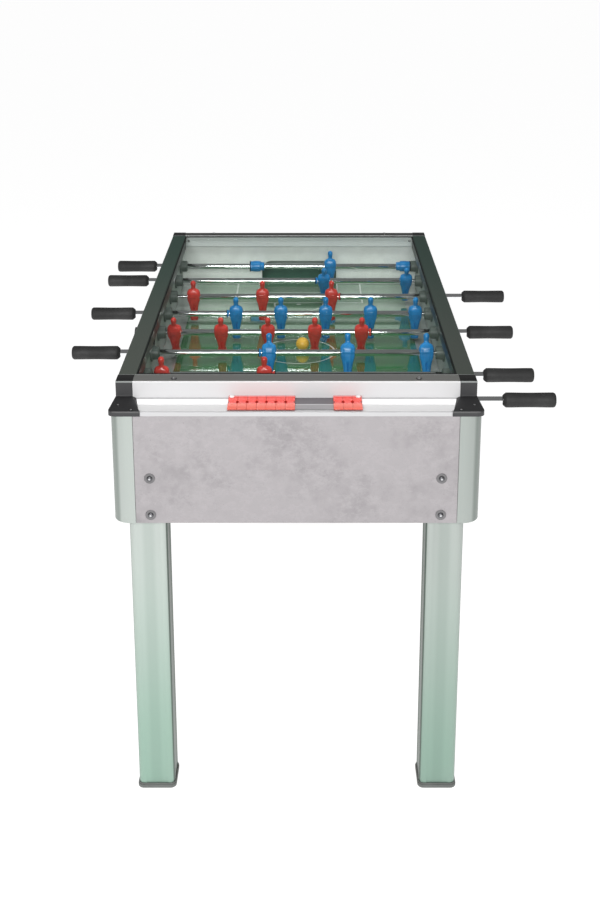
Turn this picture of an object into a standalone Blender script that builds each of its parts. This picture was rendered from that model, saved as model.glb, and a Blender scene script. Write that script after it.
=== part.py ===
"""Foosball table with telescopic rods, in metres, +Z up, origin on the floor under the table's centre.

X runs across the table, along the rods. Y runs along the table, from goal to goal; the front is at -Y.
The blue team's grips are on the left (-X) and the red team's on the right (+X).
"""

import math

import bmesh
import bpy
from mathutils import Matrix, Vector

# Clearances
GAP = 0.0003  # between two pieces that touch
RUNNING_GAP = 0.0005  # round a shaft that turns in a hole, more than its flat facets take up

# Top frame
TABLE_HEIGHT = 0.950
FRAME_HALF_WIDTH = 0.380
FRAME_HALF_LENGTH = 0.644
RAIL_WIDTH = 0.0395
RAIL_HEIGHT = 0.038
END_BAR_DEPTH = 0.038
END_BAR_HEIGHT = 0.034
GLASS_THICKNESS = 0.005
GLASS_BELOW_TOP = 0.003
GLASS_SEAT = 0.0115  # how far the glass reaches into the rails

# Cabinet
SIDE_BOARD = 0.022
SIDE_SETBACK = 0.0035
END_BOARD = 0.0165
END_SETBACK = 0.0015
BOTTOM_BOARD = 0.012
APRON_HEIGHT = 0.2405
GOAL_WALL = 0.018
GOAL_SETBACK = 0.0175  # from the end bar's inner face back to the goal wall
GOAL_WIDTH = 0.226
GOAL_HEIGHT = 0.0746
GOAL_CORNER = 0.030
GOAL_CORNER_STEPS = 4
FIELD_BOARD = 0.009

# End profile: fascia, ledge and lip
FASCIA_THICKNESS = 0.0037
LEDGE_DEPTH = 0.078
LEDGE_THICKNESS = 0.0045
LEDGE_STEP = 0.0015
LEDGE_STEP_AT = 0.036  # from the fascia's face to the small step down
LIP_HEIGHT = 0.010
LIP_THICKNESS = 0.012

# Corners
POST_SIDE_WING = 0.044
POST_END_WING = 0.048
POST_WALL = 0.003
POST_PROUD = 0.005
POST_RADIUS = 0.036
POST_ARC_STEPS = 6
CAP_BLOCK_BEVEL = 0.004
CAP_FOOT_THICKNESS = 0.004
CAP_FLARE_IN = 0.024
CAP_FLARE_OUT = 0.007
CAP_FLARE_EASE = 2.5  # the flare bulges early, then runs nearly straight
CAP_FLARE_STEPS = 4
CAP_PROUD = 0.0015

# Legs and feet
LEG_WIDTH = 0.080
LEG_WALL = 0.0025
LEG_RADIUS = 0.012
LEG_UNDER_FIELD = 0.001
FOOT_HEIGHT = 0.012
FOOT_PROUD = 0.003

# Rods
ROD_BELOW_TOP = 0.080
FIELD_BELOW_ROD = 0.078
KEEPER_TO_GOAL = 0.0721
TUBE_RADIUS = 0.008
CORE_RADIUS = 0.005
CORE_CLEARANCE = 0.0004
CORE_HEAD_RADIUS = 0.009
CORE_HEAD_LENGTH = 0.004
CORE_SHORT = 0.030  # from the core rod's end to the bearing on the grip's side
TUBE_END_INSET = 0.002  # from the outer face of the last figure to the tube's end
BORE_OVERCUT = 0.005
BEARING_RADIUS = 0.017
BEARING_LENGTH = 0.021  # inside the side board
BEARING_FLANGE_RADIUS = 0.014
BEARING_FLANGE = 0.004  # outside the side board
SHAFT_STEPS = 16
BEARING_STEPS = 12

# Grips
GRIP_RADIUS = 0.0165
GRIP_LENGTH = 0.1155
GRIP_NECK_RADIUS = 0.0115
GRIP_CHAMFER = 0.006
GRIP_NOSE = 0.007
GRIP_STANDOFF = 0.0480  # from the side board to the grip when its rod is pushed in
TUBE_IN_GRIP = 0.090

# Players, heights from the rod's axis: height, half width along the rod, half depth
PLAYER_RINGS = (
    (-0.070, 0.0095, 0.0090),
    (-0.067, 0.0110, 0.0125),
    (-0.056, 0.0110, 0.0130),
    (-0.048, 0.0098, 0.0085),
    (-0.030, 0.0122, 0.0092),
    (-0.012, 0.0168, 0.0112),
    (0.000, 0.0180, 0.0125),
    (0.010, 0.0180, 0.0125),
    (0.018, 0.0158, 0.0105),
    (0.023, 0.0070, 0.0065),
    (0.027, 0.0058, 0.0058),
    (0.036, 0.0070, 0.0070),
    (0.043, 0.0070, 0.0070),
    (0.047, 0.0045, 0.0045),
    (0.048, 0.0020, 0.0020),
)
PLAYER_STEPS = 8
PLAYER_HALF_WIDTH = 0.018
COLLAR_RADIUS = 0.0105
COLLAR_LENGTH = 0.0075
KEEPER_COLLAR_RADIUS = 0.0165
KEEPER_COLLAR_LENGTH = 0.043
KEEPER_COLLAR_PITCH = 0.2185

# Ball and its inlet
BALL_RADIUS = 0.017
BALL_X = 0.0115
BALL_Y = 0.010
INLET_RADIUS = 0.0215
INLET_WALL = 0.0025
INLET_FLANGE_RADIUS = 0.0290
INLET_FLANGE = 0.004
INLET_CUP_RADIUS = 0.0265
INLET_PROUD = 0.024
INLET_BELOW_RAIL = 0.001

# Score counter
BEAD_WIDTH = 0.0200
BEAD_RISE = 0.006
BEAD_FRONT_RISE = 0.004
BEAD_NOTCH = 0.0022
BEAD_EDGE = 0.0012
SCORE_LEFT_END = 0.1425  # the track's ends, from the middle, as the player in front of it sees them
SCORE_RIGHT_END = 0.1370
SCORE_LEFT_BEADS = 7
SCORE_RIGHT_BEADS = 3
BEAD_FRONT_EDGE = 0.0715

# Each row from the front: name, team, side of the grip, players, their pitch, how far it is pulled out,
# and how many degrees the heads lean to the front
ROWS = (
    ("red_keeper", "red", 1, 1, 0.0, 0.026, 5.0),
    ("red_defence", "red", 1, 2, 0.236, 0.004, 10.0),
    ("blue_attack", "blue", -1, 3, 0.190, 0.004, -15.0),
    ("red_midfield", "red", 1, 5, 0.1183, 0.003, 24.0),
    ("blue_midfield", "blue", -1, 5, 0.1183, 0.006, 9.0),
    ("red_attack", "red", 1, 3, 0.190, 0.026, 10.0),
    ("blue_defence", "blue", -1, 2, 0.236, 0.007, 27.0),
    ("blue_keeper", "blue", -1, 1, 0.0, 0.0, 3.0),
)

# Levels
RAIL_BOTTOM = TABLE_HEIGHT - RAIL_HEIGHT
END_BAR_BOTTOM = TABLE_HEIGHT - END_BAR_HEIGHT
LEDGE_TOP = RAIL_BOTTOM
LIP_BOTTOM = LEDGE_TOP - LIP_HEIGHT
APRON_TOP = LIP_BOTTOM - GAP
APRON_BOTTOM = APRON_TOP - APRON_HEIGHT
ROD_HEIGHT = TABLE_HEIGHT - ROD_BELOW_TOP
FIELD_TOP = ROD_HEIGHT - FIELD_BELOW_ROD
GLASS_TOP = TABLE_HEIGHT - GLASS_BELOW_TOP
GLASS_BOTTOM = GLASS_TOP - GLASS_THICKNESS

# Places across the table
RAIL_INNER = FRAME_HALF_WIDTH - RAIL_WIDTH
SIDE_OUTER = FRAME_HALF_WIDTH - SIDE_SETBACK
SIDE_INNER = SIDE_OUTER - SIDE_BOARD
BEARING_FACE = SIDE_INNER - BEARING_LENGTH
POST_OUTER = FRAME_HALF_WIDTH + POST_PROUD
POST_INNER_EDGE = POST_OUTER - POST_END_WING
CAP_BLOCK_INNER = RAIL_INNER + 0.0045
LEG_OUTER = SIDE_INNER - GAP
LEG_CENTRE_X = LEG_OUTER - LEG_WIDTH / 2

# Places along the table
CABINET_HALF_LENGTH = FRAME_HALF_LENGTH + LEDGE_DEPTH
FASCIA_INNER = FRAME_HALF_LENGTH - FASCIA_THICKNESS
BAR_INNER = FASCIA_INNER - GAP - END_BAR_DEPTH
GOAL_FACE = BAR_INNER + GOAL_SETBACK
GOAL_BACK = GOAL_FACE + GOAL_WALL
END_PANEL_FACE = CABINET_HALF_LENGTH - END_SETBACK
END_PANEL_BACK = END_PANEL_FACE - END_BOARD
LEG_FRONT = END_PANEL_BACK - GAP
LEG_CENTRE_Y = LEG_FRONT - LEG_WIDTH / 2
POST_SIDE_EDGE = CABINET_HALF_LENGTH - POST_SIDE_WING
SIDE_PANEL_END = POST_SIDE_EDGE - GAP
ROD_PITCH = (GOAL_FACE - KEEPER_TO_GOAL) / 3.5
INLET_Y = -ROD_PITCH  # between the midfield and the attack rods
INLET_HEIGHT = RAIL_BOTTOM - INLET_BELOW_RAIL - INLET_FLANGE_RADIUS

# name: colour, roughness, metallic
FINISHES = {
    "rail_green": ((0.055, 0.075, 0.065), 0.35, 0.0),
    "end_bar_grey": ((0.13, 0.13, 0.13), 0.4, 0.0),
    "side_laminate": ((0.10, 0.13, 0.115), 0.45, 0.0),
    "concrete_laminate": ((0.50, 0.47, 0.49), 0.55, 0.0),
    "aluminium": ((0.72, 0.76, 0.72), 0.35, 1.0),
    "fascia_aluminium": ((0.86, 0.86, 0.87), 0.4, 0.6),
    "cap_plastic": ((0.03, 0.03, 0.035), 0.4, 0.0),
    "foot_plastic": ((0.08, 0.09, 0.085), 0.5, 0.0),
    "glass": ((0.85, 0.92, 0.90), 0.03, 0.0),
    "field_green": ((0.05, 0.20, 0.08), 0.2, 0.0),
    "wall_grey": ((0.55, 0.58, 0.54), 0.5, 0.0),
    "board_raw": ((0.35, 0.25, 0.15), 0.7, 0.0),
    "chrome": ((0.80, 0.80, 0.82), 0.1, 1.0),
    "core_steel": ((0.60, 0.60, 0.62), 0.25, 1.0),
    "red_players": ((0.60, 0.03, 0.03), 0.3, 0.0),
    "blue_players": ((0.02, 0.17, 0.45), 0.3, 0.0),
    "grip_black": ((0.025, 0.025, 0.025), 0.55, 0.0),
    "bead_red": ((0.80, 0.06, 0.05), 0.15, 0.0),
    "ball_yellow": ((0.80, 0.45, 0.05), 0.35, 0.0),
    "inlet_black": ((0.02, 0.02, 0.02), 0.4, 0.0),
}


def clear_scene():
    for old in list(bpy.data.objects):
        bpy.data.objects.remove(old, do_unlink=True)


def finish_material(name):
    """The named finish, made once as a Principled material."""
    found = bpy.data.materials.get(name)
    if found:
        return found
    colour, roughness, metallic = FINISHES[name]
    material = bpy.data.materials.new(name)
    material.use_nodes = True
    shader = material.node_tree.nodes["Principled BSDF"]
    shader.inputs["Base Color"].default_value = (*colour, 1.0)
    shader.inputs["Roughness"].default_value = roughness
    shader.inputs["Metallic"].default_value = metallic
    return material


def make_object(name, bm, finish, place=(0.0, 0.0, 0.0), parent=None, smooth=False):
    """Turns a bmesh into a named object with its faces pointing out."""
    bmesh.ops.recalc_face_normals(bm, faces=bm.faces[:])
    mesh = bpy.data.meshes.new(name)
    bm.to_mesh(mesh)
    bm.free()
    mesh.materials.append(finish_material(finish))
    if smooth:
        mesh.shade_smooth()
        mesh.set_sharp_from_angle(angle=math.radians(35))
    obj = bpy.data.objects.new(name, mesh)
    obj.location = place
    obj.parent = parent
    bpy.context.collection.objects.link(obj)
    return obj


def make_axis(name, place):
    """An empty on a joint's axis, which the pieces of that joint hang from."""
    axis = bpy.data.objects.new(name, None)
    axis.location = place
    axis.empty_display_type = "SINGLE_ARROW"
    bpy.context.collection.objects.link(axis)
    return axis


def combine(target, helper, operation):
    """Adds or cuts the helper's shape, and keeps the helper out of the model."""
    helper.hide_render = True
    helper.display_type = "WIRE"
    modifier = target.modifiers.new(helper.name, "BOOLEAN")
    modifier.operation = operation
    modifier.solver = "EXACT"
    modifier.object = helper


def skin(bm, loops):
    """Closes a row of equally long point loops into one solid, with flat ends."""
    rows = [[bm.verts.new(point) for point in loop] for loop in loops]
    count = len(rows[0])
    for near, far in zip(rows, rows[1:]):
        for i in range(count):
            after = (i + 1) % count
            bm.faces.new((near[i], near[after], far[after], far[i]))
    bm.faces.new(rows[0])
    bm.faces.new(rows[-1])


def slab(bm, outline, axis, low, high):
    """Extrudes an outline along X, Y or Z. The outline's two numbers are the other axes, in order."""
    spread = {
        "X": lambda p, at: (at, p[0], p[1]),
        "Y": lambda p, at: (p[0], at, p[1]),
        "Z": lambda p, at: (p[0], p[1], at),
    }[axis]
    skin(bm, [[spread(point, at) for point in outline] for at in (low, high)])


def box(bm, low, high):
    """A block between two opposite corners."""
    outline = ((low[0], low[1]), (high[0], low[1]), (high[0], high[1]), (low[0], high[1]))
    slab(bm, outline, "Z", low[2], high[2])


def tube_wall(bm, outer, inner, low, high):
    """An leant tube between an outer and an inner outline with as many points."""
    loops = []
    for outline, z in ((outer, low), (outer, high), (inner, high), (inner, low)):
        loops.append([bm.verts.new((x, y, z)) for x, y in outline])
    count = len(outer)
    for near, far in zip(loops, loops[1:] + loops[:1]):
        for i in range(count):
            after = (i + 1) % count
            bm.faces.new((near[i], near[after], far[after], far[i]))


def turned(bm, profile, steps, place=(0.0, 0.0, 0.0)):
    """Turns a profile of (x, radius) about a line along X, and closes it where it meets the line."""
    points = [bm.verts.new((x + place[0], place[1], place[2] + radius)) for x, radius in profile]
    edges = [bm.edges.new(pair) for pair in zip(points, points[1:])]
    bmesh.ops.spin(
        bm,
        geom=points + edges,
        cent=place,
        axis=(1.0, 0.0, 0.0),
        angle=math.tau,
        steps=steps,
        use_merge=True,
    )
    bmesh.ops.remove_doubles(bm, verts=bm.verts[:], dist=1e-6)


def rounded_square(half, radius, steps=3):
    """The outline of a square with round corners, centred on the origin."""
    points = []
    for quarter in range(4):
        start = quarter * math.pi / 2
        cx = (half - radius) * (1 if quarter in (0, 3) else -1)
        cy = (half - radius) * (1 if quarter in (0, 1) else -1)
        for i in range(steps + 1):
            angle = start + i * math.pi / 2 / steps
            points.append((cx + radius * math.cos(angle), cy + radius * math.sin(angle)))
    return points


def mirrored(points, sign_x, sign_y):
    return [(x * sign_x, y * sign_y) for x, y in points]


def end_name(sign_y):
    return "front" if sign_y < 0 else "back"


def side_name(sign_x):
    return "left" if sign_x < 0 else "right"


def make_legs_and_feet():
    outer = rounded_square(LEG_WIDTH / 2, LEG_RADIUS)
    inner = rounded_square(LEG_WIDTH / 2 - LEG_WALL, LEG_RADIUS - LEG_WALL)
    foot = rounded_square(LEG_WIDTH / 2 + FOOT_PROUD, LEG_RADIUS + FOOT_PROUD)
    leg_top = FIELD_TOP - FIELD_BOARD - LEG_UNDER_FIELD
    for sign_x in (-1, 1):
        for sign_y in (-1, 1):
            place = (sign_x * LEG_CENTRE_X, sign_y * LEG_CENTRE_Y, 0.0)
            corner = f"{end_name(sign_y)}_{side_name(sign_x)}"
            bm = bmesh.new()
            tube_wall(bm, outer, inner, FOOT_HEIGHT + GAP, leg_top)
            make_object(f"leg_{corner}", bm, "aluminium", place, smooth=True)
            bm = bmesh.new()
            slab(bm, foot, "Z", 0.0, FOOT_HEIGHT)
            make_object(f"foot_{corner}", bm, "foot_plastic", place, smooth=True)


def post_outline():
    """The post's L in the plan of the back right corner, its outer corner an arc."""
    centre_x = POST_OUTER - POST_RADIUS
    centre_y = CABINET_HALF_LENGTH - POST_RADIUS
    arc = [i * math.pi / 2 / POST_ARC_STEPS for i in range(POST_ARC_STEPS + 1)]

    def corner(radius):
        return [(centre_x + radius * math.cos(a), centre_y + radius * math.sin(a)) for a in arc]

    outside = [(POST_OUTER, POST_SIDE_EDGE)] + corner(POST_RADIUS)
    outside.append((POST_INNER_EDGE, CABINET_HALF_LENGTH))
    inside = [(POST_OUTER - POST_WALL, POST_SIDE_EDGE)] + corner(POST_RADIUS - POST_WALL)
    inside.append((POST_INNER_EDGE, CABINET_HALF_LENGTH - POST_WALL))
    return outside + inside[::-1]


def make_posts():
    for sign_x in (-1, 1):
        for sign_y in (-1, 1):
            bm = bmesh.new()
            slab(bm, mirrored(post_outline(), sign_x, sign_y), "Z", APRON_BOTTOM, APRON_TOP)
            name = f"corner_post_{end_name(sign_y)}_{side_name(sign_x)}"
            make_object(name, bm, "aluminium", smooth=True)


def cap_foot_outline(from_y, flared_inside=True):
    """Plan of the cap's flared foot, from a place along the table out past the lip."""
    start = FRAME_HALF_LENGTH
    end = CABINET_HALF_LENGTH + CAP_PROUD
    share = (from_y - start) / (end - start)
    flare_in = CAP_FLARE_IN if flared_inside else 0.0
    side_end = end - CAP_FLARE_IN / 2
    outline = [(CAP_BLOCK_INNER - flare_in * share, from_y)]
    for i in range(CAP_FLARE_STEPS + 1):
        y = from_y + (side_end - from_y) * i / CAP_FLARE_STEPS
        passed = max(0.0, (y - start) / (side_end - start))
        flare = CAP_FLARE_OUT * (1 - (1 - passed) ** CAP_FLARE_EASE)
        outline.append((FRAME_HALF_WIDTH + flare, y))
    return outline + [
        (FRAME_HALF_WIDTH, end - CAP_FLARE_IN / 8),
        (FRAME_HALF_WIDTH - CAP_FLARE_IN / 2, end),
        (CAP_BLOCK_INNER - flare_in, end),
    ]


def make_caps():
    """Moulded covers over the frame's corners: a block, a flared foot, and its deep side and front."""
    block_start = BAR_INNER + 2 * GAP
    foot_bottom = RAIL_BOTTOM + GAP
    foot_top = foot_bottom + CAP_FOOT_THICKNESS
    front = FRAME_HALF_LENGTH + CAP_PROUD
    block = (
        (block_start, foot_bottom),
        (block_start, TABLE_HEIGHT),
        (front - CAP_BLOCK_BEVEL, TABLE_HEIGHT),
        (front, TABLE_HEIGHT - CAP_BLOCK_BEVEL),
        (front, foot_bottom),
    )
    parts = (
        ("foot", front - CAP_BLOCK_BEVEL, foot_bottom, True),
        ("deep_side", SIDE_PANEL_END + 2 * GAP, LIP_BOTTOM, False),
        ("deep_front", CABINET_HALF_LENGTH - LIP_THICKNESS + GAP, LIP_BOTTOM, True),
    )
    for sign_x in (-1, 1):
        for sign_y in (-1, 1):
            name = f"corner_cap_{end_name(sign_y)}_{side_name(sign_x)}"
            bm = bmesh.new()
            inner, outer = sorted((sign_x * CAP_BLOCK_INNER, sign_x * FRAME_HALF_WIDTH))
            slab(bm, mirrored_ends(block, sign_y), "X", inner, outer)
            cap = make_object(name, bm, "cap_plastic")
            for part, start, bottom, flared_inside in parts:
                bm = bmesh.new()
                outline = mirrored(cap_foot_outline(start, flared_inside), sign_x, sign_y)
                slab(bm, outline, "Z", bottom, foot_top)
                combine(cap, make_object(f"{name}_{part}", bm, "cap_plastic"), "UNION")


def mirrored_ends(outline, sign_y):
    """An outline of (y, z) turned to the front or the back."""
    return [(sign_y * y, z) for y, z in outline]


def make_rails():
    """Long rails with a groove for the glass, and the bars across the ends."""
    length = BAR_INNER + GAP
    groove = RAIL_INNER + GLASS_SEAT + GAP
    section = (
        (RAIL_INNER, RAIL_BOTTOM + GAP),
        (FRAME_HALF_WIDTH, RAIL_BOTTOM + GAP),
        (FRAME_HALF_WIDTH, TABLE_HEIGHT),
        (RAIL_INNER, TABLE_HEIGHT),
        (RAIL_INNER, GLASS_TOP + GAP),
        (groove, GLASS_TOP + GAP),
        (groove, GLASS_BOTTOM - GAP),
        (RAIL_INNER, GLASS_BOTTOM - GAP),
    )
    for sign_x in (-1, 1):
        bm = bmesh.new()
        slab(bm, [(sign_x * x, z) for x, z in section], "Y", -length, length)
        make_object(f"side_rail_{side_name(sign_x)}", bm, "rail_green")
    half_width = CAP_BLOCK_INNER - GAP
    for sign_y in (-1, 1):
        near, far = sorted((sign_y * (BAR_INNER + 2 * GAP), sign_y * (FASCIA_INNER - GAP)))
        bm = bmesh.new()
        box(bm, (-half_width, near, END_BAR_BOTTOM + GAP), (half_width, far, TABLE_HEIGHT))
        make_object(f"end_bar_{end_name(sign_y)}", bm, "end_bar_grey")


def make_glass():
    half_width = RAIL_INNER + GLASS_SEAT
    half_length = BAR_INNER
    bm = bmesh.new()
    box(bm, (-half_width, -half_length, GLASS_BOTTOM), (half_width, half_length, GLASS_TOP))
    make_object("glass_top", bm, "glass")


def ledge_sections():
    """The ledge, with a small step between its two strips, and the lip at its front, as (y, z)."""
    face = FRAME_HALF_LENGTH
    step = face + LEDGE_STEP_AT
    front = CABINET_HALF_LENGTH
    lip_back = front - LIP_THICKNESS
    low_top = LEDGE_TOP - LEDGE_STEP
    ledge = (
        (FASCIA_INNER, LEDGE_TOP - LEDGE_THICKNESS),
        (FASCIA_INNER, LEDGE_TOP),
        (step, LEDGE_TOP),
        (step + LEDGE_STEP, low_top),
        (lip_back, low_top),
        (lip_back, LEDGE_TOP - LEDGE_THICKNESS),
    )
    lip = (
        (lip_back - LEDGE_STEP, low_top - GAP),
        (lip_back, low_top),
        (front - 3 * LEDGE_STEP, low_top),
        (front - 2 * LEDGE_STEP, LEDGE_TOP),
        (front - LEDGE_STEP / 2, LEDGE_TOP),
        (front, LEDGE_TOP - LEDGE_STEP / 2),
        (front, LIP_BOTTOM),
        (lip_back - LEDGE_STEP, LIP_BOTTOM),
    )
    return ledge, lip


def make_fascias():
    """The pale end profiles: an leant plate below the end bar, the ledge at its foot, and the lip."""
    wide = CAP_BLOCK_INNER - GAP
    narrow = CAP_BLOCK_INNER - CAP_FLARE_IN - GAP
    ledge, lip = ledge_sections()
    for sign_y in (-1, 1):
        name = f"end_fascia_{end_name(sign_y)}"
        near, far = sorted((sign_y * FASCIA_INNER, sign_y * FRAME_HALF_LENGTH))
        low = LEDGE_TOP - LEDGE_THICKNESS / 2
        bm = bmesh.new()
        box(bm, (-wide, near, low), (wide, far, TABLE_HEIGHT - LEDGE_STEP))
        fascia = make_object(name, bm, "fascia_aluminium")
        for part, section, half in (("ledge", ledge, wide), ("lip", lip, narrow)):
            bm = bmesh.new()
            slab(bm, mirrored_ends(section, sign_y), "X", -half, half)
            combine(fascia, make_object(f"{name}_{part}", bm, "fascia_aluminium"), "UNION")


def make_end_panels():
    half_width = POST_INNER_EDGE - GAP
    for sign_y in (-1, 1):
        near, far = sorted((sign_y * END_PANEL_BACK, sign_y * END_PANEL_FACE))
        bm = bmesh.new()
        box(bm, (-half_width, near, APRON_BOTTOM), (half_width, far, APRON_TOP))
        make_object(f"end_panel_{end_name(sign_y)}", bm, "concrete_laminate")


def make_goal_walls():
    """Inner end walls from the field up to the end bars, each with its goal mouth cut up from the bottom."""
    half_width = SIDE_INNER - GAP
    half_top = CAP_BLOCK_INNER - GAP
    half_goal = GOAL_WIDTH / 2
    bottom = FIELD_TOP + GAP
    mouth = [(half_goal, bottom)]
    for i in range(GOAL_CORNER_STEPS + 1):
        angle = math.pi / 2 * i / GOAL_CORNER_STEPS
        x = half_goal - GOAL_CORNER * (1 - math.cos(angle))
        z = FIELD_TOP + GOAL_HEIGHT - GOAL_CORNER * (1 - math.sin(angle))
        mouth.append((x, z))
    half = mouth[::-1] + [
        (half_width, bottom),
        (half_width, RAIL_BOTTOM),
        (half_top, RAIL_BOTTOM),
        (half_top, END_BAR_BOTTOM),
    ]
    section = half + [(-x, z) for x, z in half[::-1]]
    for sign_y in (-1, 1):
        near, far = sorted((sign_y * GOAL_FACE, sign_y * GOAL_BACK))
        bm = bmesh.new()
        slab(bm, section, "Y", near, far)
        make_object(f"goal_wall_{end_name(sign_y)}", bm, "wall_grey")


def make_boards():
    """The playfield, and the cabinet's bottom with its corners cut out round the legs."""
    half_width = SIDE_INNER - GAP
    bm = bmesh.new()
    box(bm, (-half_width, -GOAL_BACK, FIELD_TOP - FIELD_BOARD), (half_width, GOAL_BACK, FIELD_TOP))
    make_object("playfield", bm, "field_green")
    leg_x = LEG_OUTER - LEG_WIDTH - GAP
    leg_y = LEG_FRONT - LEG_WIDTH - GAP
    end_y = END_PANEL_BACK - GAP
    corner = [(half_width, leg_y), (leg_x, leg_y), (leg_x, end_y)]
    outline = corner + mirrored(corner, -1, 1)[::-1]
    outline += mirrored(corner, -1, -1) + mirrored(corner, 1, -1)[::-1]
    bm = bmesh.new()
    slab(bm, outline, "Z", APRON_BOTTOM, APRON_BOTTOM + BOTTOM_BOARD)
    make_object("bottom_board", bm, "board_raw")


def row_place(index):
    """A row's place along the table, counted from the front."""
    return (index - (len(ROWS) - 1) / 2) * ROD_PITCH


def make_side_panels():
    """Side boards with a bearing at each rod: a boss inside, a flange outside, and the rod's hole."""
    reach = FRAME_HALF_WIDTH
    for sign_x in (-1, 1):
        name = f"side_panel_{side_name(sign_x)}"
        inner, outer = sorted((sign_x * SIDE_INNER, sign_x * SIDE_OUTER))
        bm = bmesh.new()
        low = (inner, -SIDE_PANEL_END, APRON_BOTTOM)
        box(bm, low, (outer, SIDE_PANEL_END, RAIL_BOTTOM))
        panel = make_object(name, bm, "side_laminate")
        bearings = bmesh.new()
        holes = bmesh.new()
        for index, (_, _, grip_side, *_) in enumerate(ROWS):
            place = (0.0, row_place(index), ROD_HEIGHT)
            boss = (
                (sign_x * BEARING_FACE, 0.0),
                (sign_x * BEARING_FACE, BEARING_RADIUS),
                (sign_x * (SIDE_INNER + SIDE_BOARD / 2), BEARING_RADIUS),
                (sign_x * (SIDE_INNER + SIDE_BOARD / 2), BEARING_FLANGE_RADIUS),
                (sign_x * (SIDE_OUTER + BEARING_FLANGE), BEARING_FLANGE_RADIUS),
                (sign_x * (SIDE_OUTER + BEARING_FLANGE), 0.0),
            )
            turned(bearings, boss, BEARING_STEPS, place)
            shaft = TUBE_RADIUS if grip_side == sign_x else CORE_RADIUS
            radius = (shaft + RUNNING_GAP) / math.cos(math.pi / BEARING_STEPS)
            start, end = sign_x * (BEARING_FACE - 0.01), sign_x * (reach + 0.02)
            hole = ((start, 0.0), (start, radius), (end, radius), (end, 0.0))
            turned(holes, hole, BEARING_STEPS, place)
        if sign_x < 0:
            radius = (INLET_RADIUS + INLET_WALL + GAP) / math.cos(math.pi / SHAFT_STEPS)
            start, end = -reach - 0.02, -RAIL_INNER
            inlet = ((start, 0.0), (start, radius), (end, radius), (end, 0.0))
            turned(holes, inlet, SHAFT_STEPS, (0.0, INLET_Y, INLET_HEIGHT))
        combine(panel, make_object(f"{name}_bearings", bearings, "cap_plastic"), "UNION")
        combine(panel, make_object(f"{name}_holes", holes, "cap_plastic"), "DIFFERENCE")


def make_inlet():
    """The ball's inlet: a sleeve through the left side, with a flange and a cup that stands out."""
    profile = (
        (-SIDE_INNER, INLET_RADIUS),
        (-SIDE_INNER, INLET_RADIUS + INLET_WALL),
        (-SIDE_OUTER - GAP, INLET_RADIUS + INLET_WALL),
        (-SIDE_OUTER - GAP, INLET_FLANGE_RADIUS),
        (-SIDE_OUTER - GAP - INLET_FLANGE, INLET_FLANGE_RADIUS),
        (-SIDE_OUTER - GAP - INLET_FLANGE, INLET_CUP_RADIUS),
        (-SIDE_OUTER - INLET_PROUD, INLET_CUP_RADIUS),
        (-SIDE_OUTER - INLET_PROUD, INLET_CUP_RADIUS - INLET_WALL),
        (-SIDE_OUTER - INLET_FLANGE, INLET_RADIUS),
        (-SIDE_INNER, INLET_RADIUS),
    )
    bm = bmesh.new()
    turned(bm, profile, SHAFT_STEPS, (0.0, INLET_Y, INLET_HEIGHT))
    make_object("ball_inlet", bm, "inlet_black", smooth=True)


def add_player(bm, x, lean):
    """One player on the rod, as rings of a rounded figure from foot to head, its head leant to the front."""
    turn = math.tau / PLAYER_STEPS
    leant = Matrix.Rotation(lean, 3, "X")
    loops = []
    for z, half_width, half_depth in PLAYER_RINGS:
        loop = []
        for i in range(PLAYER_STEPS):
            angle = (i + 0.5) * turn
            corner = 1 / math.cos(turn / 2)
            point = (half_width * corner * math.cos(angle), half_depth * math.sin(angle), z)
            loop.append(leant @ Vector(point) + Vector((x, 0.0, 0.0)))
        loops.append(loop)
    skin(bm, loops)


def add_collar(bm, x, radius, length):
    half = length / 2
    turned(bm, ((x - half, 0.0), (x - half, radius), (x + half, radius), (x + half, 0.0)), BEARING_STEPS)


def row_places(side, players, pitch, pulled):
    """Where a row's players stand along X at rest, and its collars as (x, radius, length)."""
    if players == 1:
        far_half = KEEPER_COLLAR_LENGTH / 2
        far = BEARING_FACE - GAP - far_half
        figures = [far - KEEPER_COLLAR_PITCH]
        collars = [far, far - 2 * KEEPER_COLLAR_PITCH]
        shapes = [(x, KEEPER_COLLAR_RADIUS, KEEPER_COLLAR_LENGTH) for x in collars]
    else:
        far = BEARING_FACE - GAP - PLAYER_HALF_WIDTH
        figures = [far - i * pitch for i in range(players)]
        near = figures[-1] - PLAYER_HALF_WIDTH - GAP - COLLAR_LENGTH / 2
        shapes = [(near, COLLAR_RADIUS, COLLAR_LENGTH)]
    figures = [-side * (x - pulled) for x in figures]
    shapes = [(-side * (x - pulled), radius, length) for x, radius, length in shapes]
    return figures, shapes


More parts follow.
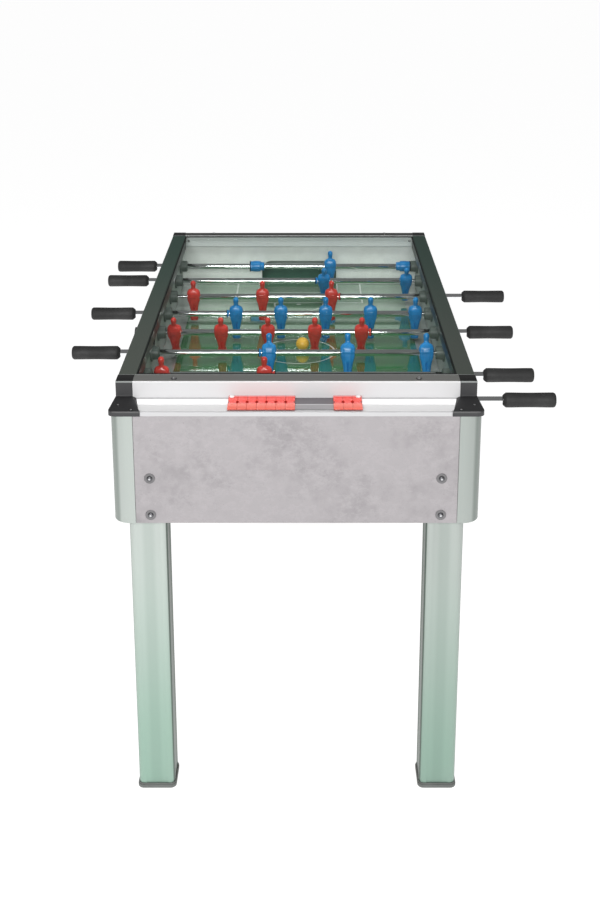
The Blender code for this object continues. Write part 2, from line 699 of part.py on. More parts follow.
def make_row(index):
    """A row: its core rod held by the far side, and the tube with players and grip that slides on it."""
    name, team, side, players, pitch, pulled, lean = ROWS[index]
    axis = make_axis(f"{name}_axis", (0.0, row_place(index), ROD_HEIGHT))
    head = -side * (SIDE_OUTER + BEARING_FLANGE + GAP)
    core_end = side * (BEARING_FACE - CORE_SHORT)
    bm = bmesh.new()
    core = (
        (core_end, 0.0),
        (core_end, CORE_RADIUS),
        (head, CORE_RADIUS),
        (head, CORE_HEAD_RADIUS),
        (head - side * CORE_HEAD_LENGTH, CORE_HEAD_RADIUS),
        (head - side * CORE_HEAD_LENGTH, 0.0),
    )
    turned(bm, core, BEARING_STEPS)
    make_object(f"{name}_core_rod", bm, "core_steel", parent=axis, smooth=True)

    figures, collars = row_places(side, players, pitch, pulled)
    grip_start = side * (SIDE_OUTER + GRIP_STANDOFF + pulled)
    tube_far = -side * (BEARING_FACE - GAP - TUBE_END_INSET - pulled)
    tube_near = grip_start + side * (TUBE_IN_GRIP - GAP)
    bm = bmesh.new()
    solid = ((tube_far, 0.0), (tube_far, TUBE_RADIUS), (tube_near, TUBE_RADIUS), (tube_near, 0.0))
    turned(bm, solid, SHAFT_STEPS)
    rod = make_object(f"{name}_rod", bm, f"{team}_players", parent=axis, smooth=True)
    bm = bmesh.new()
    for x in figures:
        add_player(bm, x, math.radians(lean))
    for x, radius, length in collars:
        add_collar(bm, x, radius, length)
    combine(rod, make_object(f"{name}_figures", bm, f"{team}_players", parent=axis), "UNION")
    bore_radius = (CORE_RADIUS + CORE_CLEARANCE) / math.cos(math.pi / BEARING_STEPS)
    bore_start = tube_far - side * BORE_OVERCUT
    bore_end = core_end + side * (pulled + GRIP_STANDOFF)
    bm = bmesh.new()
    bore = ((bore_start, 0.0), (bore_start, bore_radius), (bore_end, bore_radius), (bore_end, 0.0))
    turned(bm, bore, BEARING_STEPS)
    combine(rod, make_object(f"{name}_bore", bm, "core_steel", parent=axis), "DIFFERENCE")

    seat = (TUBE_RADIUS + GAP / 2) / math.cos(math.pi / SHAFT_STEPS)
    grip = (
        (0.0, seat),
        (0.0, GRIP_NECK_RADIUS),
        (GRIP_CHAMFER, GRIP_RADIUS),
        (GRIP_LENGTH - GRIP_NOSE, GRIP_RADIUS),
        (GRIP_LENGTH - GRIP_NOSE * 0.3, GRIP_RADIUS - GRIP_NOSE * 0.3),
        (GRIP_LENGTH, GRIP_RADIUS - GRIP_NOSE),
        (GRIP_LENGTH, 0.0),
    )
    bm = bmesh.new()
    bottom = ((TUBE_IN_GRIP, 0.0), (TUBE_IN_GRIP, seat))
    turned(bm, [(grip_start + side * x, radius) for x, radius in bottom + grip], SHAFT_STEPS)
    make_object(f"{name}_grip", bm, "grip_black", parent=axis, smooth=True)


def make_ball():
    bm = bmesh.new()
    bmesh.ops.create_icosphere(bm, subdivisions=3, radius=BALL_RADIUS, matrix=Matrix.Identity(4))
    place = (BALL_X, BALL_Y, FIELD_TOP + GAP + BALL_RADIUS)
    make_object("ball", bm, "ball_yellow", place, smooth=True)


def bead_section(lowered):
    """A bead over the ledge as (depth from the fascia, height over the ledge), its top lowered at a joint."""
    back = GAP
    step = LEDGE_STEP_AT
    edge = BEAD_FRONT_EDGE
    return (
        (back, GAP),
        (back, BEAD_RISE - lowered - BEAD_EDGE),
        (back + BEAD_EDGE + lowered, BEAD_RISE - lowered),
        (step - BEAD_RISE, BEAD_RISE - lowered),
        (step, BEAD_FRONT_RISE - lowered),
        (edge - BEAD_EDGE - lowered, BEAD_FRONT_RISE - lowered),
        (edge - lowered, BEAD_FRONT_RISE - lowered - BEAD_EDGE),
        (edge - lowered, GAP),
    )


def make_beads(name, sign_y, left, count):
    """A group of beads side by side on the ledge, with a groove between each two."""
    loops = []
    for i in range(count):
        for x, lowered in (
            (i * BEAD_WIDTH, BEAD_NOTCH),
            (i * BEAD_WIDTH + BEAD_EDGE, 0.0),
            ((i + 1) * BEAD_WIDTH - BEAD_EDGE, 0.0),
        ):
            loops.append([(x, sign_y * depth, height) for depth, height in bead_section(lowered)])
    end = count * BEAD_WIDTH
    loops.append([(end, sign_y * depth, height) for depth, height in bead_section(BEAD_NOTCH)])
    bm = bmesh.new()
    skin(bm, loops)
    make_object(name, bm, "bead_red", (left, sign_y * FRAME_HALF_LENGTH, LEDGE_TOP))


def make_score_counters():
    """Front counter at seven and three; the back one has all its beads at its right end."""
    total = SCORE_LEFT_BEADS + SCORE_RIGHT_BEADS
    right = SCORE_RIGHT_END - SCORE_RIGHT_BEADS * BEAD_WIDTH
    make_beads("score_beads_front_left", -1, -SCORE_LEFT_END, SCORE_LEFT_BEADS)
    make_beads("score_beads_front_right", -1, right, SCORE_RIGHT_BEADS)
    make_beads("score_beads_back", 1, -SCORE_RIGHT_END, total)


def main():
    clear_scene()
    make_legs_and_feet()
    make_posts()
    make_side_panels()
    make_end_panels()
    make_boards()
    make_goal_walls()
    make_fascias()
    make_rails()
    make_caps()
    make_glass()
    make_inlet()
    for index in range(len(ROWS)):
        make_row(index)
    make_ball()
    make_score_counters()


main()
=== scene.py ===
"""Finish of a foosball table with telescopic rods, built round its packed frame, in metres.

X runs along the rods, Y from goal to goal with the front at -Y, and Z up. Each operator makes one kind
of piece as surfaces worked out with numpy, and gives it its materials.
"""

import math

import bmesh
import bpy
import numpy as np
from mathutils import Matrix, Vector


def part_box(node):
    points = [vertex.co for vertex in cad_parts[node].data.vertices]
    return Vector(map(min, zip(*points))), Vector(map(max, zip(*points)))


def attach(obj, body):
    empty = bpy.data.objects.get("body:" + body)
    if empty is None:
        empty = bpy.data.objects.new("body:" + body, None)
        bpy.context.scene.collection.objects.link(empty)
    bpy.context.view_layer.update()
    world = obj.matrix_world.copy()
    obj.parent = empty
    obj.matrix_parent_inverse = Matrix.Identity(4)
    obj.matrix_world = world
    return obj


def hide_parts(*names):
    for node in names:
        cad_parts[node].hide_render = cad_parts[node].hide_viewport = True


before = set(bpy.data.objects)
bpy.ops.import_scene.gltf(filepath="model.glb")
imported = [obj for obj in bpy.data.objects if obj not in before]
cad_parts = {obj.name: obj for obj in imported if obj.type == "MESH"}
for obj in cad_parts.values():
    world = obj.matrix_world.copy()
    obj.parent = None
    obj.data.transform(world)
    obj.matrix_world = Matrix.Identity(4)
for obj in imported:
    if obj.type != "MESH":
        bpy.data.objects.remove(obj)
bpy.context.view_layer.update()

bl_info = {
    "name": "Foosball table",
    "version": (1, 0, 0),
    "blender": (4, 5, 0),
    "location": "3D View > Sidebar > Foosball",
    "description": "Builds the finished pieces of a foosball table round its packed frame",
    "category": "Add Mesh",
}

SIDES = (("left", -1), ("right", 1))
ENDS = (("front", -1), ("back", 1))
CORNERS = [(f"{end}_{side}", across, along) for end, along in ENDS for side, across in SIDES]
ROWS = (
    # name, team, side of the grip, players, their pitch, degrees that the heads lean to the front
    ("red_keeper", "red", 1, 1, 0.0, 5.0),
    ("red_defence", "red", 1, 2, 0.236, 10.0),
    ("blue_attack", "blue", -1, 3, 0.190, -15.0),
    ("red_midfield", "red", 1, 5, 0.1183, 24.0),
    ("blue_midfield", "blue", -1, 5, 0.1183, 9.0),
    ("red_attack", "red", 1, 3, 0.190, 10.0),
    ("blue_defence", "blue", -1, 2, 0.236, 27.0),
    ("blue_keeper", "blue", -1, 1, 0.0, 3.0),
)
GAP = 0.0003  # between two pieces that touch
LEDGE = 0.9120  # height of the ledge on each end profile
PROFILE_FACE = 0.6440  # from the middle of the table to a profile's upright face
LEDGE_STEP = 0.6800  # from the middle to the step in the ledge
LIP_FRONT = 0.7216  # from the middle to where the lip turns down
CAP_FRONT = 0.6455  # from the middle to the caps' upright front
BOARD_INNER, BOARD_OUTER = 0.3545, 0.3765  # faces of the side boards
BOLT_HEIGHTS = (0.680, 0.763)
RUBBER_BLACK = (0.008, 0.009, 0.009)
ZINC = ("zinc", (0.72, 0.72, 0.72), 0.25)


def box(node):
    """A CAD node's lowest and highest corners, as two arrays."""
    return [np.array(corner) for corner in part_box(node)]


# Settings


def number(name, description, default, **limits):
    """A number that a user can change."""
    return bpy.props.FloatProperty(name=name, description=description, default=default, **limits)


def length(name, description, default):
    """A size in metres that a user can change."""
    return number(name, description, default, min=0.0, unit="LENGTH", precision=4)


def colour(name, description, default):
    """A linear colour that a user can change."""
    return bpy.props.FloatVectorProperty(
        name=name, description=description, default=default, subtype="COLOR", min=0.0, max=1.0
    )


class FoosballFrame(bpy.types.PropertyGroup):
    """Top frame, its caps and the pale end profiles."""

    # rail_near and rail_far carry painted light: the rails are lighter and greyer at the front than at
    # the back
    rail_near: colour("Rail, front", "Paint of the side rails at the front", (0.056, 0.065, 0.055))
    rail_far: colour("Rail, back", "Paint of the side rails at the back", (0.018, 0.046, 0.034))
    bar_grey: colour("End bar", "Paint of the bars across the ends", (0.116, 0.118, 0.112))
    cap_black: colour("Cap", "Moulded plastic of the corner caps", (0.038, 0.038, 0.040))
    fascia_white: colour("Fascia", "Anodised white of the end profiles", (0.93, 0.925, 0.93))
    edge: length("Edge rounding", "Rounding of the rails' long edges", 0.0025)
    gasket: length("Gasket width", "Width of the rubber round the glass", 0.0030)
    screw: length("Screw head", "Radius of the frame's screw heads", 0.0042)


class FoosballCabinet(bpy.types.PropertyGroup):
    """Boards, posts, legs and feet."""

    laminate: colour("Laminate", "Main tone of the mottled boards", (0.380, 0.358, 0.369))
    laminate_dark: colour("Laminate clouds", "Darker clouds of the boards", (0.285, 0.269, 0.278))
    aluminium: colour("Aluminium", "Satin metal high on the legs and posts", (0.54, 0.588, 0.556))
    # aluminium_low is the tint of a painted reflection that greens the legs and posts towards the floor
    aluminium_low: colour("Aluminium, low", "Tint of the metal near the floor", (0.290, 0.465, 0.370))
    inner_wall: colour("Inner wall", "Face of the side boards inside", (0.36, 0.41, 0.38))
    foot_grey: colour("Foot", "Moulded plastic of the feet", (0.150, 0.160, 0.152))
    post_bottom: length("Post rounding", "Rounding at the bottom of the posts", 0.001)
    leg_flute: length("Leg flute", "Depth of the shallow flutes on the legs", 0.0006)
    bolt: length("Bolt head", "Radius of the leg bolts' heads", 0.0060)
    washer: length("Washer", "Radius of the leg bolts' washers", 0.0112)


class FoosballField(bpy.types.PropertyGroup):
    """Playfield, goal walls, goals and the glass."""

    turf: colour("Turf", "Printed green of the playfield", (0.034, 0.185, 0.055))
    turf_dark: colour("Turf stripe", "Darker stripes of the green", (0.026, 0.150, 0.044))
    border: colour("Border", "Grey strips beside the green", (0.36, 0.37, 0.36))
    chalk: colour("Lines", "Printed lines of the field", (0.75, 0.78, 0.75))
    wall: colour("Goal wall", "Pale laminate round the goals", (0.91, 0.925, 0.90))
    goal: colour("Goal", "Lining behind the goal mouth", (0.075, 0.210, 0.145))
    green_half: length("Green half width", "From the middle to the edge of the green", 0.310)
    line: length("Line width", "Width of the printed lines", 0.004)
    circle: length("Centre circle", "Radius of the centre circle", 0.095)
    glass_tint: colour("Glass", "Tint of the toughened glass", (0.975, 0.99, 0.982))


class FoosballRods(bpy.types.PropertyGroup):
    """Rods, players, collars and grips."""

    red: colour("Red team", "Plastic of the red players", (0.640, 0.046, 0.035))
    blue: colour("Blue team", "Plastic of the blue players", (0.011, 0.215, 0.540))
    chrome: colour("Chrome", "Plating of the tubes", (0.88, 0.89, 0.90))
    grip_black: colour("Grip", "Rubber of the grips", (0.017, 0.017, 0.017))
    shoulder: length("Shoulders", "Half of a player's width", 0.0180)
    chest: length("Chest", "Half of a player's depth at the rod", 0.0125)
    head: length("Head", "Half of a player's head at its widest", 0.0073)
    tall: length("Head top", "Top of a player's head above the rod", 0.0480)
    ball: colour("Ball", "Hard plastic of the ball", (0.80, 0.47, 0.060))


class FoosballScore(bpy.types.PropertyGroup):
    """Sliding score beads and their track."""

    bead_red: colour("Bead", "Translucent plastic of the beads", (0.96, 0.050, 0.030))
    track_dark: colour("Track, back", "Dark strip under the beads", (0.105, 0.095, 0.105))
    track_mid: colour("Track, front", "Grey strip under the beads", (0.270, 0.260, 0.270))
    joint: length("Bead joint", "Gap between two beads", 0.0003)
    notch: length("Bead notch", "Depth of the finger notch at each joint", 0.0030)


class FoosballStage(bpy.types.PropertyGroup):
    """Camera, floor and lights."""

    camera_at: bpy.props.FloatVectorProperty(
        name="Camera",
        description="Where the camera stands",
        default=(0.018, -3.228, 1.916),
        subtype="TRANSLATION",
        unit="LENGTH",
    )
    camera_pitch: number("Pitch", "How far the camera looks down", math.radians(15.65), subtype="ANGLE")
    lens: number("Lens", "Millimetres, on a 36 mm sensor", 52.4, subtype="DISTANCE_CAMERA")
    floor: colour("Floor", "Pale floor", (0.95, 0.95, 0.95))
    sky: number("Room light", "Strength of the even light all round", 0.16, min=0.0, max=10.0)
    top_light: number("Top softbox", "Power of the light above", 52.0, unit="POWER")
    front_light: number("Front softbox", "Power of the light in front", 86.0, unit="POWER")


# Surfaces


def placed(axis, along, first, second):
    """Points from a distance along an axis and the two other coordinates, in the order x, y, z."""
    x, y, z = {
        "X": (along, first, second), "Y": (first, along, second), "Z": (first, second, along)
    }[axis]
    return np.stack(np.broadcast_arrays(x, y, z), -1)


def grid(points, wrap_rows=False, wrap_columns=True, ends=False, finish=0):
    """Quads between neighbours of a grid of points, and two faces over its first and last rows.

    Points that coincide, as at a pole, become one, and a face drops the corners that repeat.
    """
    rows, columns = points.shape[:2]
    i = np.arange(rows if wrap_rows else rows - 1)
    j = np.arange(columns if wrap_columns else columns - 1)
    i, j = np.meshgrid(i, j, indexing="ij")
    below = (i + 1) % rows * columns
    here = i * columns
    right = (j + 1) % columns
    quads = np.stack((here + j, here + right, below + right, below + j), -1).reshape(-1, 4)
    faces = quads.tolist()
    if ends:
        first = np.arange(columns)
        faces.append(first[::-1].tolist())
        faces.append((first + (rows - 1) * columns).tolist())
    flat = points.reshape(-1, 3)
    _, kept, which = np.unique(np.round(flat, 7), axis=0, return_index=True, return_inverse=True)
    which = which.reshape(-1).tolist()
    whole = []
    for face in faces:
        corners = list(dict.fromkeys(which[k] for k in face))
        if len(corners) > 2:
            whole.append(corners)
    return flat[kept], whole, finish


def rounded(corners, radii, steps=3):
    """A closed outline whose corners are arcs.

    An arc of radius r at a corner of half angle a starts r / tan(a) from it, and its points are the two
    end vectors from the arc's centre mixed by sines.
    """
    corners = np.array(corners, float)
    share = np.linspace(0, 1, steps + 1)[:, None]
    pieces = []
    for k, radius in enumerate(np.broadcast_to(radii, len(corners))):
        here = corners[k]
        if radius == 0:
            pieces.append(here[None])
            continue
        back = corners[k - 1] - here
        ahead = corners[(k + 1) % len(corners)] - here
        back /= np.linalg.norm(back)
        ahead /= np.linalg.norm(ahead)
        half = math.acos(np.clip(back @ ahead, -1, 1)) / 2
        reach = radius / math.tan(half)
        toward = (back + ahead) / np.linalg.norm(back + ahead)
        centre = here + toward * radius / math.sin(half)
        start = here + back * reach - centre
        end = here + ahead * reach - centre
        swept = math.pi - 2 * half
        arc = np.sin((1 - share) * swept) * start + np.sin(share * swept) * end
        pieces.append(centre + arc / math.sin(swept))
    return np.concatenate(pieces)


def rectangle(low, high):
    """The four corners of a rectangle."""
    return np.array([low, (high[0], low[1]), high, (low[0], high[1])], float)


def mitres(outline):
    """Outward vectors at a closed outline's points that move both sides of a corner out by one."""
    ahead = np.roll(outline, -1, 0) - outline
    ahead /= np.linalg.norm(ahead, axis=1)[:, None]
    x, y = outline.T
    area = np.sum(x * np.roll(y, -1) - y * np.roll(x, -1))
    out = np.stack((ahead[:, 1], -ahead[:, 0]), -1) * np.sign(area)
    before = np.roll(out, 1, 0)
    return (out + before) / (1 + np.sum(out * before, 1))[:, None]


def bar(axis, outline, start, end, edge, steps=2):
    """A closed outline carried straight along an axis.

    Over a quarter circle at each end, the outline draws in by edge times 1 - cos as it runs out by sin.
    """
    outline = np.array(outline, float)
    angle = np.linspace(0, math.pi / 2, steps + 1)
    drawn = edge * (1 - np.cos(angle))
    short = edge * (1 - np.sin(angle))
    along = np.concatenate((start + short[::-1], end - short))
    inset = np.concatenate((drawn[::-1], drawn))
    section = outline[None] - mitres(outline)[None] * inset[:, None, None]
    return grid(placed(axis, along[:, None], section[..., 0], section[..., 1]), ends=True)


def slab(low, high, edge=0.001, axis="Z", corner=None):
    """A board with its edges rounded, from its two corners."""
    low, high = np.minimum(low, high), np.maximum(low, high)
    along = "XYZ".index(axis)
    outline = rectangle(np.delete(low, along), np.delete(high, along))
    radius = edge if corner is None else corner
    outline = rounded(outline, radius, 2)
    return bar(axis, outline, low[along], high[along], edge)


def turned(axis, centre, profile, steps=32, closed=False, finish=0):
    """A profile of (along, radius) turned once round an axis; a radius of 0 closes a pole."""
    profile = np.array(profile, float)
    angle = np.arange(steps) * 2 * math.pi / steps
    along, radius = profile[:, :1], profile[:, 1:]
    points = placed(axis, along, radius * np.cos(angle), radius * np.sin(angle))
    return grid(points + np.array(centre), wrap_rows=closed, finish=finish)


def merged(shells):
    """The points, faces and finishes of several shells, as one."""
    points = np.concatenate([shell[0] for shell in shells])
    faces = []
    finishes = []
    offset = 0
    for shell_points, shell_faces, finish in shells:
        faces += [[offset + k for k in face] for face in shell_faces]
        finishes += [finish] * len(shell_faces)
        offset += len(shell_points)
    return points, faces, finishes


def make_piece(name, shells, materials, body, replaced=(), crease=20.0):
    """One mesh of closed shells that rides on a body, with faces outwards and creases kept sharp."""
    points, faces, finishes = merged(shells)
    mesh = bpy.data.meshes.new(name)
    mesh.from_pydata(points.tolist(), [], faces)
    mesh.polygons.foreach_set("material_index", finishes)
    bm = bmesh.new()
    bm.from_mesh(mesh)
    bmesh.ops.recalc_face_normals(bm, faces=bm.faces)
    bm.to_mesh(mesh)
    bm.free()
    mesh.shade_smooth()
    mesh.set_sharp_from_angle(angle=math.radians(crease))
    for material in materials:
        mesh.materials.append(material)
    piece = bpy.data.objects.new(name, mesh)
    bpy.context.scene.collection.objects.link(piece)
    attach(piece, body)
    if replaced:
        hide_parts(*replaced)


def fixed(name, shells, materials, crease=20.0):
    """A piece of the cabinet that takes the place of the node of the same name."""
    make_piece(name, shells, materials, "cabinet", [name], crease)


# Materials


class Flow:
    """A socket of a material. Arithmetic on it adds Math nodes, and add() any other node."""

    def __init__(self, tree, socket=None):
        self.tree = tree
        self.socket = socket

    def add(self, kind, settings=(), inputs=(), output=0):
        """A node with its settings made first, then the values or links of its sockets."""
        node = self.tree.nodes.new(kind)
        for name, value in dict(settings).items():
            setattr(node, name, value)
        for name, value in dict(inputs).items():
            if isinstance(value, Flow):
                self.tree.links.new(value.socket, node.inputs[name])
            else:
                node.inputs[name].default_value = value
        return Flow(self.tree, node.outputs[output] if node.outputs else None)

    def math(self, operation, *values):
        return self.add("ShaderNodeMath", {"operation": operation}, enumerate(values))

    def __add__(self, other):
        return self.math("ADD", self, other)

    def __sub__(self, other):
        return self.math("SUBTRACT", self, other)

    def __rsub__(self, other):
        return self.math("SUBTRACT", other, self)

    def __mul__(self, other):
        return self.math("MULTIPLY", self, other)

    __radd__ = __add__
    __rmul__ = __mul__

    def __abs__(self):
        return self.math("ABSOLUTE", self)

    def most(self, other):
        return self.math("MAXIMUM", self, other)

    def rise(self, start, end):
        """0 below start and 1 above end, with a smooth change between."""
        inputs = {"Value": self, "From Min": start, "From Max": end}
        return self.add("ShaderNodeMapRange", {"interpolation_type": "SMOOTHSTEP"}, inputs)

    def between(self, start, end, soft, soft_end=None):
        """1 from start to end and 0 beyond, with smooth changes that are this long."""
        rising = self.rise(start - soft / 2, start + soft / 2)
        return rising * (1 - self.rise(end, end + (soft_end or soft)))

    def position(self):
        """The place on the piece, as x, y and z in metres."""
        spot = self.add("ShaderNodeTexCoord", output="Object")
        split = self.add("ShaderNodeSeparateXYZ", inputs={0: spot})
        return [Flow(self.tree, socket) for socket in split.socket.node.outputs]

    def noise(self, scale, detail=3.0, rough=0.5, stretch=(1.0, 1.0, 1.0)):
        """Cloudy values from 0 to 1, about scale of them in a metre, stretched along the axes."""
        spot = self.add("ShaderNodeTexCoord", output="Object")
        mapped = self.add("ShaderNodeMapping", inputs={"Vector": spot, "Scale": stretch})
        inputs = {"Vector": mapped, "Scale": scale, "Detail": detail, "Roughness": rough}
        return self.add("ShaderNodeTexNoise", inputs=inputs)

    def mix(self, base, *layers):
        """A base colour with each (mask, colour) laid over it in turn."""
        for mask, tint in layers:
            first, second = (c if isinstance(c, Flow) else (*c, 1.0) for c in (base, tint))
            inputs = {0: mask, 6: first, 7: second}
            base = self.add("ShaderNodeMix", {"data_type": "RGBA"}, inputs, 2)
        return base


def new_material(name):
    """A material's empty tree of nodes."""
    material = bpy.data.materials.new(name)
    material.use_nodes = True
    material.node_tree.nodes.clear()
    flow = Flow(material.node_tree)
    flow.material = material
    return flow


def surface(flow, base, roughness, bump=None, **others):
    """Ends a material in a Principled shader, with a bump of (height, strength, distance)."""
    inputs = {"Base Color": base, "Roughness": roughness}
    if bump:
        names = ("Height", "Strength", "Distance")
        inputs["Normal"] = flow.add("ShaderNodeBump", inputs=zip(names, bump))
    inputs.update((name.replace("_", " "), value) for name, value in others.items())
    shader = flow.add("ShaderNodeBsdfPrincipled", inputs=inputs)
    flow.add("ShaderNodeOutputMaterial", inputs={"Surface": shader})
    return flow.material


def shared(make):
    """Keeps each material that a maker makes, by its name, for all the pieces that ask for it."""
    kept = {}

    def find(*values):
        key = next((value for value in values if isinstance(value, str)), make.__name__)
        if key not in kept:
            kept[key] = make(*values)
        return kept[key]

    return find


def shaded(tint, factor):
    """A colour made darker or lighter."""
    return tuple(min(1.0, c * factor) for c in tint)


@shared
def moulded_plastic(name, tint, rough=0.42, grain=900.0, mottle=0.12):
    """Moulded plastic: a fine spark-eroded grain, faint cloudiness, and rubbed, smoother patches."""
    flow = new_material(name)
    clouds = flow.noise(28.0, 4.0, 0.6).rise(0.3, 0.7)
    fine = flow.noise(grain, 2.0)
    base = flow.mix(shaded(tint, 1 - mottle), (clouds, shaded(tint, 1 + mottle)))
    rubbed = flow.noise(9.0, 5.0, 0.65).rise(0.45, 0.75)
    return surface(flow, base, rough - 0.08 * rubbed + 0.05 * fine, (fine, 0.12, 0.0004))


@shared
def team_plastic(name, tint):
    """Glossy moulded players: a clear coat over even colour, with slight scuffs that dull it."""
    flow = new_material(name)
    clouds = flow.noise(60.0, 3.0)
    scuffs = flow.noise(220.0, 5.0, 0.7, (1.0, 1.0, 0.35)).rise(0.58, 0.75)
    even = (clouds.rise(0.3, 0.7), shaded(tint, 1.12))
    base = flow.mix(shaded(tint, 0.88), even, (scuffs * 0.25, (0.5, 0.45, 0.45)))
    rough = 0.26 + 0.16 * scuffs + 0.05 * clouds
    bump = (flow.noise(500.0, 2.0), 0.06, 0.0003)
    return surface(flow, base, rough, bump, Coat_Weight=0.25 - 0.2 * scuffs, Coat_Roughness=0.12)


@shared
def metal(name, tint, rough=0.1, streaks=(1.0, 1.0, 1.0), fine=400.0, spread=0.06):
    """Bright or satin metal: fine drawn streaks along one axis that change its roughness."""
    flow = new_material(name)
    drawn = flow.noise(fine, 3.0, 0.6, streaks)
    smudges = flow.noise(14.0, 4.0, 0.6).rise(0.4, 0.75)
    base = flow.mix(tint, (smudges, shaded(tint, 0.93)))
    rough = rough + spread * drawn + spread * smudges
    return surface(flow, base, rough, (drawn, 0.05, 0.0002), Metallic=1.0)


@shared
def leg_metal(settings):
    """Satin anodised profile with fine upright drawing lines, darker on the posts, and painted light: a
    painted reflection that greens it towards the floor, a darker painted reflection band down the middle
    of each leg face, and painted shade on the right-hand legs and posts, on the legs' side faces and on
    the posts' outer rounded corners.
    """
    flow = new_material("satin_aluminium")
    x, _, z = flow.position()
    # mask of a painted reflection that greens the metal towards the floor
    low = 1 - z.rise(0.02, 0.70)
    drawn = flow.noise(260.0, 3.0, 0.6, (1.0, 1.0, 0.012))
    cloudy = flow.noise(5.0, 3.0, 0.5, (1.0, 1.0, 0.4)).rise(0.35, 0.7)
    across = abs(x)
    on_leg = 1 - z.rise(0.655, 0.660)
    # mask of a darker painted reflection band down the middle of each leg face
    middle = 1 - abs(across - 0.3142).rise(0.006, 0.018)
    # masks of painted shade: the legs' inner and outer side faces, and the posts' outer rounded corners
    inside = (1 - across.rise(0.2758, 0.2784)) * on_leg
    outside = across.rise(0.3522, 0.3534) * on_leg
    corner = across.rise(0.3660, 0.3740) * 0.45
    dim = shaded(settings.aluminium, 0.2)
    tint = flow.mix(
        settings.aluminium,
        (low * 0.9, settings.aluminium_low),
        (cloudy * 0.25, shaded(settings.aluminium, 0.82)),
        (middle * on_leg * 0.16, shaded(settings.aluminium_low, 0.45)),
        # painted shade: the legs and posts on the right are darker
        (x.rise(-0.1, 0.1) * 0.18, dim),
        ((1 - on_leg) * 0.17, dim),
        ((inside * 0.94).most(outside * 0.75).most(corner), (0.05, 0.08, 0.062)),
    )
    return surface(flow, tint, 0.34 + 0.10 * drawn, (drawn, 0.06, 0.0002), Metallic=0.55)


@shared
def concrete_laminate(settings):
    """Mottled laminate: broad clouds, small blotches, pale trowel veins and dark pinholes."""
    flow = new_material("concrete_laminate")
    small = flow.noise(38.0, 6.0, 0.7)
    mottled = flow.noise(5.5, 6.0, 0.62) * 0.65 + small * 0.35
    vein = 1 - abs(flow.noise(9.0, 8.0, 0.75, (1.0, 1.0, 1.6)) - 0.5).rise(0.004, 0.03)
    pins = flow.noise(420.0, 2.0, 0.5).rise(0.66, 0.74)
    base = flow.mix(
        settings.laminate_dark,
        (mottled.rise(0.30, 0.54), settings.laminate),
        (small.rise(0.5, 0.72) * 0.35, shaded(settings.laminate, 1.16)),
        (vein * 0.22, shaded(settings.laminate, 1.28)),
        (pins * 0.35, shaded(settings.laminate_dark, 0.6)),
    )
    return surface(flow, base, 0.42 + 0.16 * small, (mottled + 0.3 * pins, 0.10, 0.0006))


@shared
def side_board(settings):
    """The side boards: laminate outside, and a grey-green face inside that darkens towards its top with
    painted shade under the rails.
    """
    flow = new_material("side_board")
    x, _, z = flow.position()
    small = flow.noise(38.0, 6.0, 0.7)
    mottled = (flow.noise(5.5, 6.0, 0.62) * 0.65 + small * 0.35).rise(0.36, 0.60)
    # painted shade: the inner face darkens towards its top, under the rails
    inner = flow.mix(settings.inner_wall, (z.rise(0.80, 0.92), shaded(settings.inner_wall, 0.72)))
    board = flow.mix(settings.laminate_dark, (mottled, settings.laminate))
    base = flow.mix(inner, (abs(x).rise(0.3600, 0.3604), board))
    return surface(flow, base, 0.36 + 0.16 * small, (mottled, 0.08, 0.0005))


@shared
def rail_paint(settings, inner_edge):
    """Semi-gloss paint with orange peel and dust, lighter and greyer towards the front as painted light,
    with painted shade on the right-hand rail and on the inner face.
    """
    flow = new_material("rail_green")
    x, y, _ = flow.position()
    peel = flow.noise(240.0, 2.0)
    dust = flow.noise(900.0, 4.0, 0.7).rise(0.62, 0.8)
    # mask of painted shade on the rail's inner face
    inside = 1 - abs(x).rise(inner_edge + 0.0008, inner_edge + 0.0016)
    base = flow.mix(
        settings.rail_near,
        # painted light: lighter and greyer at the front, darker at the back
        (y.rise(-0.60, 0.60), settings.rail_far),
        (dust * 0.25, shaded(settings.rail_near, 2.0)),
        # painted shade: the right-hand rail is darker
        (x.rise(-0.1, 0.1) * 0.22, shaded(settings.rail_far, 0.2)),
        # painted shade: the inner face is near black
        (inside, (0.003, 0.008, 0.005)),
    )
    return surface(flow, base, 0.36 + 0.10 * dust + 0.05 * peel, (peel, 0.05, 0.0005))


@shared
def bar_paint(settings, inner_edge):
    """The end bars: grey semi-gloss paint above, darkened on the back bar with painted shade, and pale
    metal on the face towards the field.
    """
    flow = new_material("end_bar_grey")
    _, y, _ = flow.position()
    peel = flow.noise(240.0, 2.0)
    # painted shade: the back bar is darker
    far = (y.rise(-0.1, 0.1), shaded(settings.bar_grey, 0.42))
    inside = 1 - abs(y).rise(inner_edge + 0.0010, inner_edge + 0.0018)
    base = flow.mix(settings.bar_grey, far, (inside, (0.74, 0.77, 0.76)))
    return surface(flow, base, 0.36 + 0.08 * peel, (peel, 0.05, 0.0005))


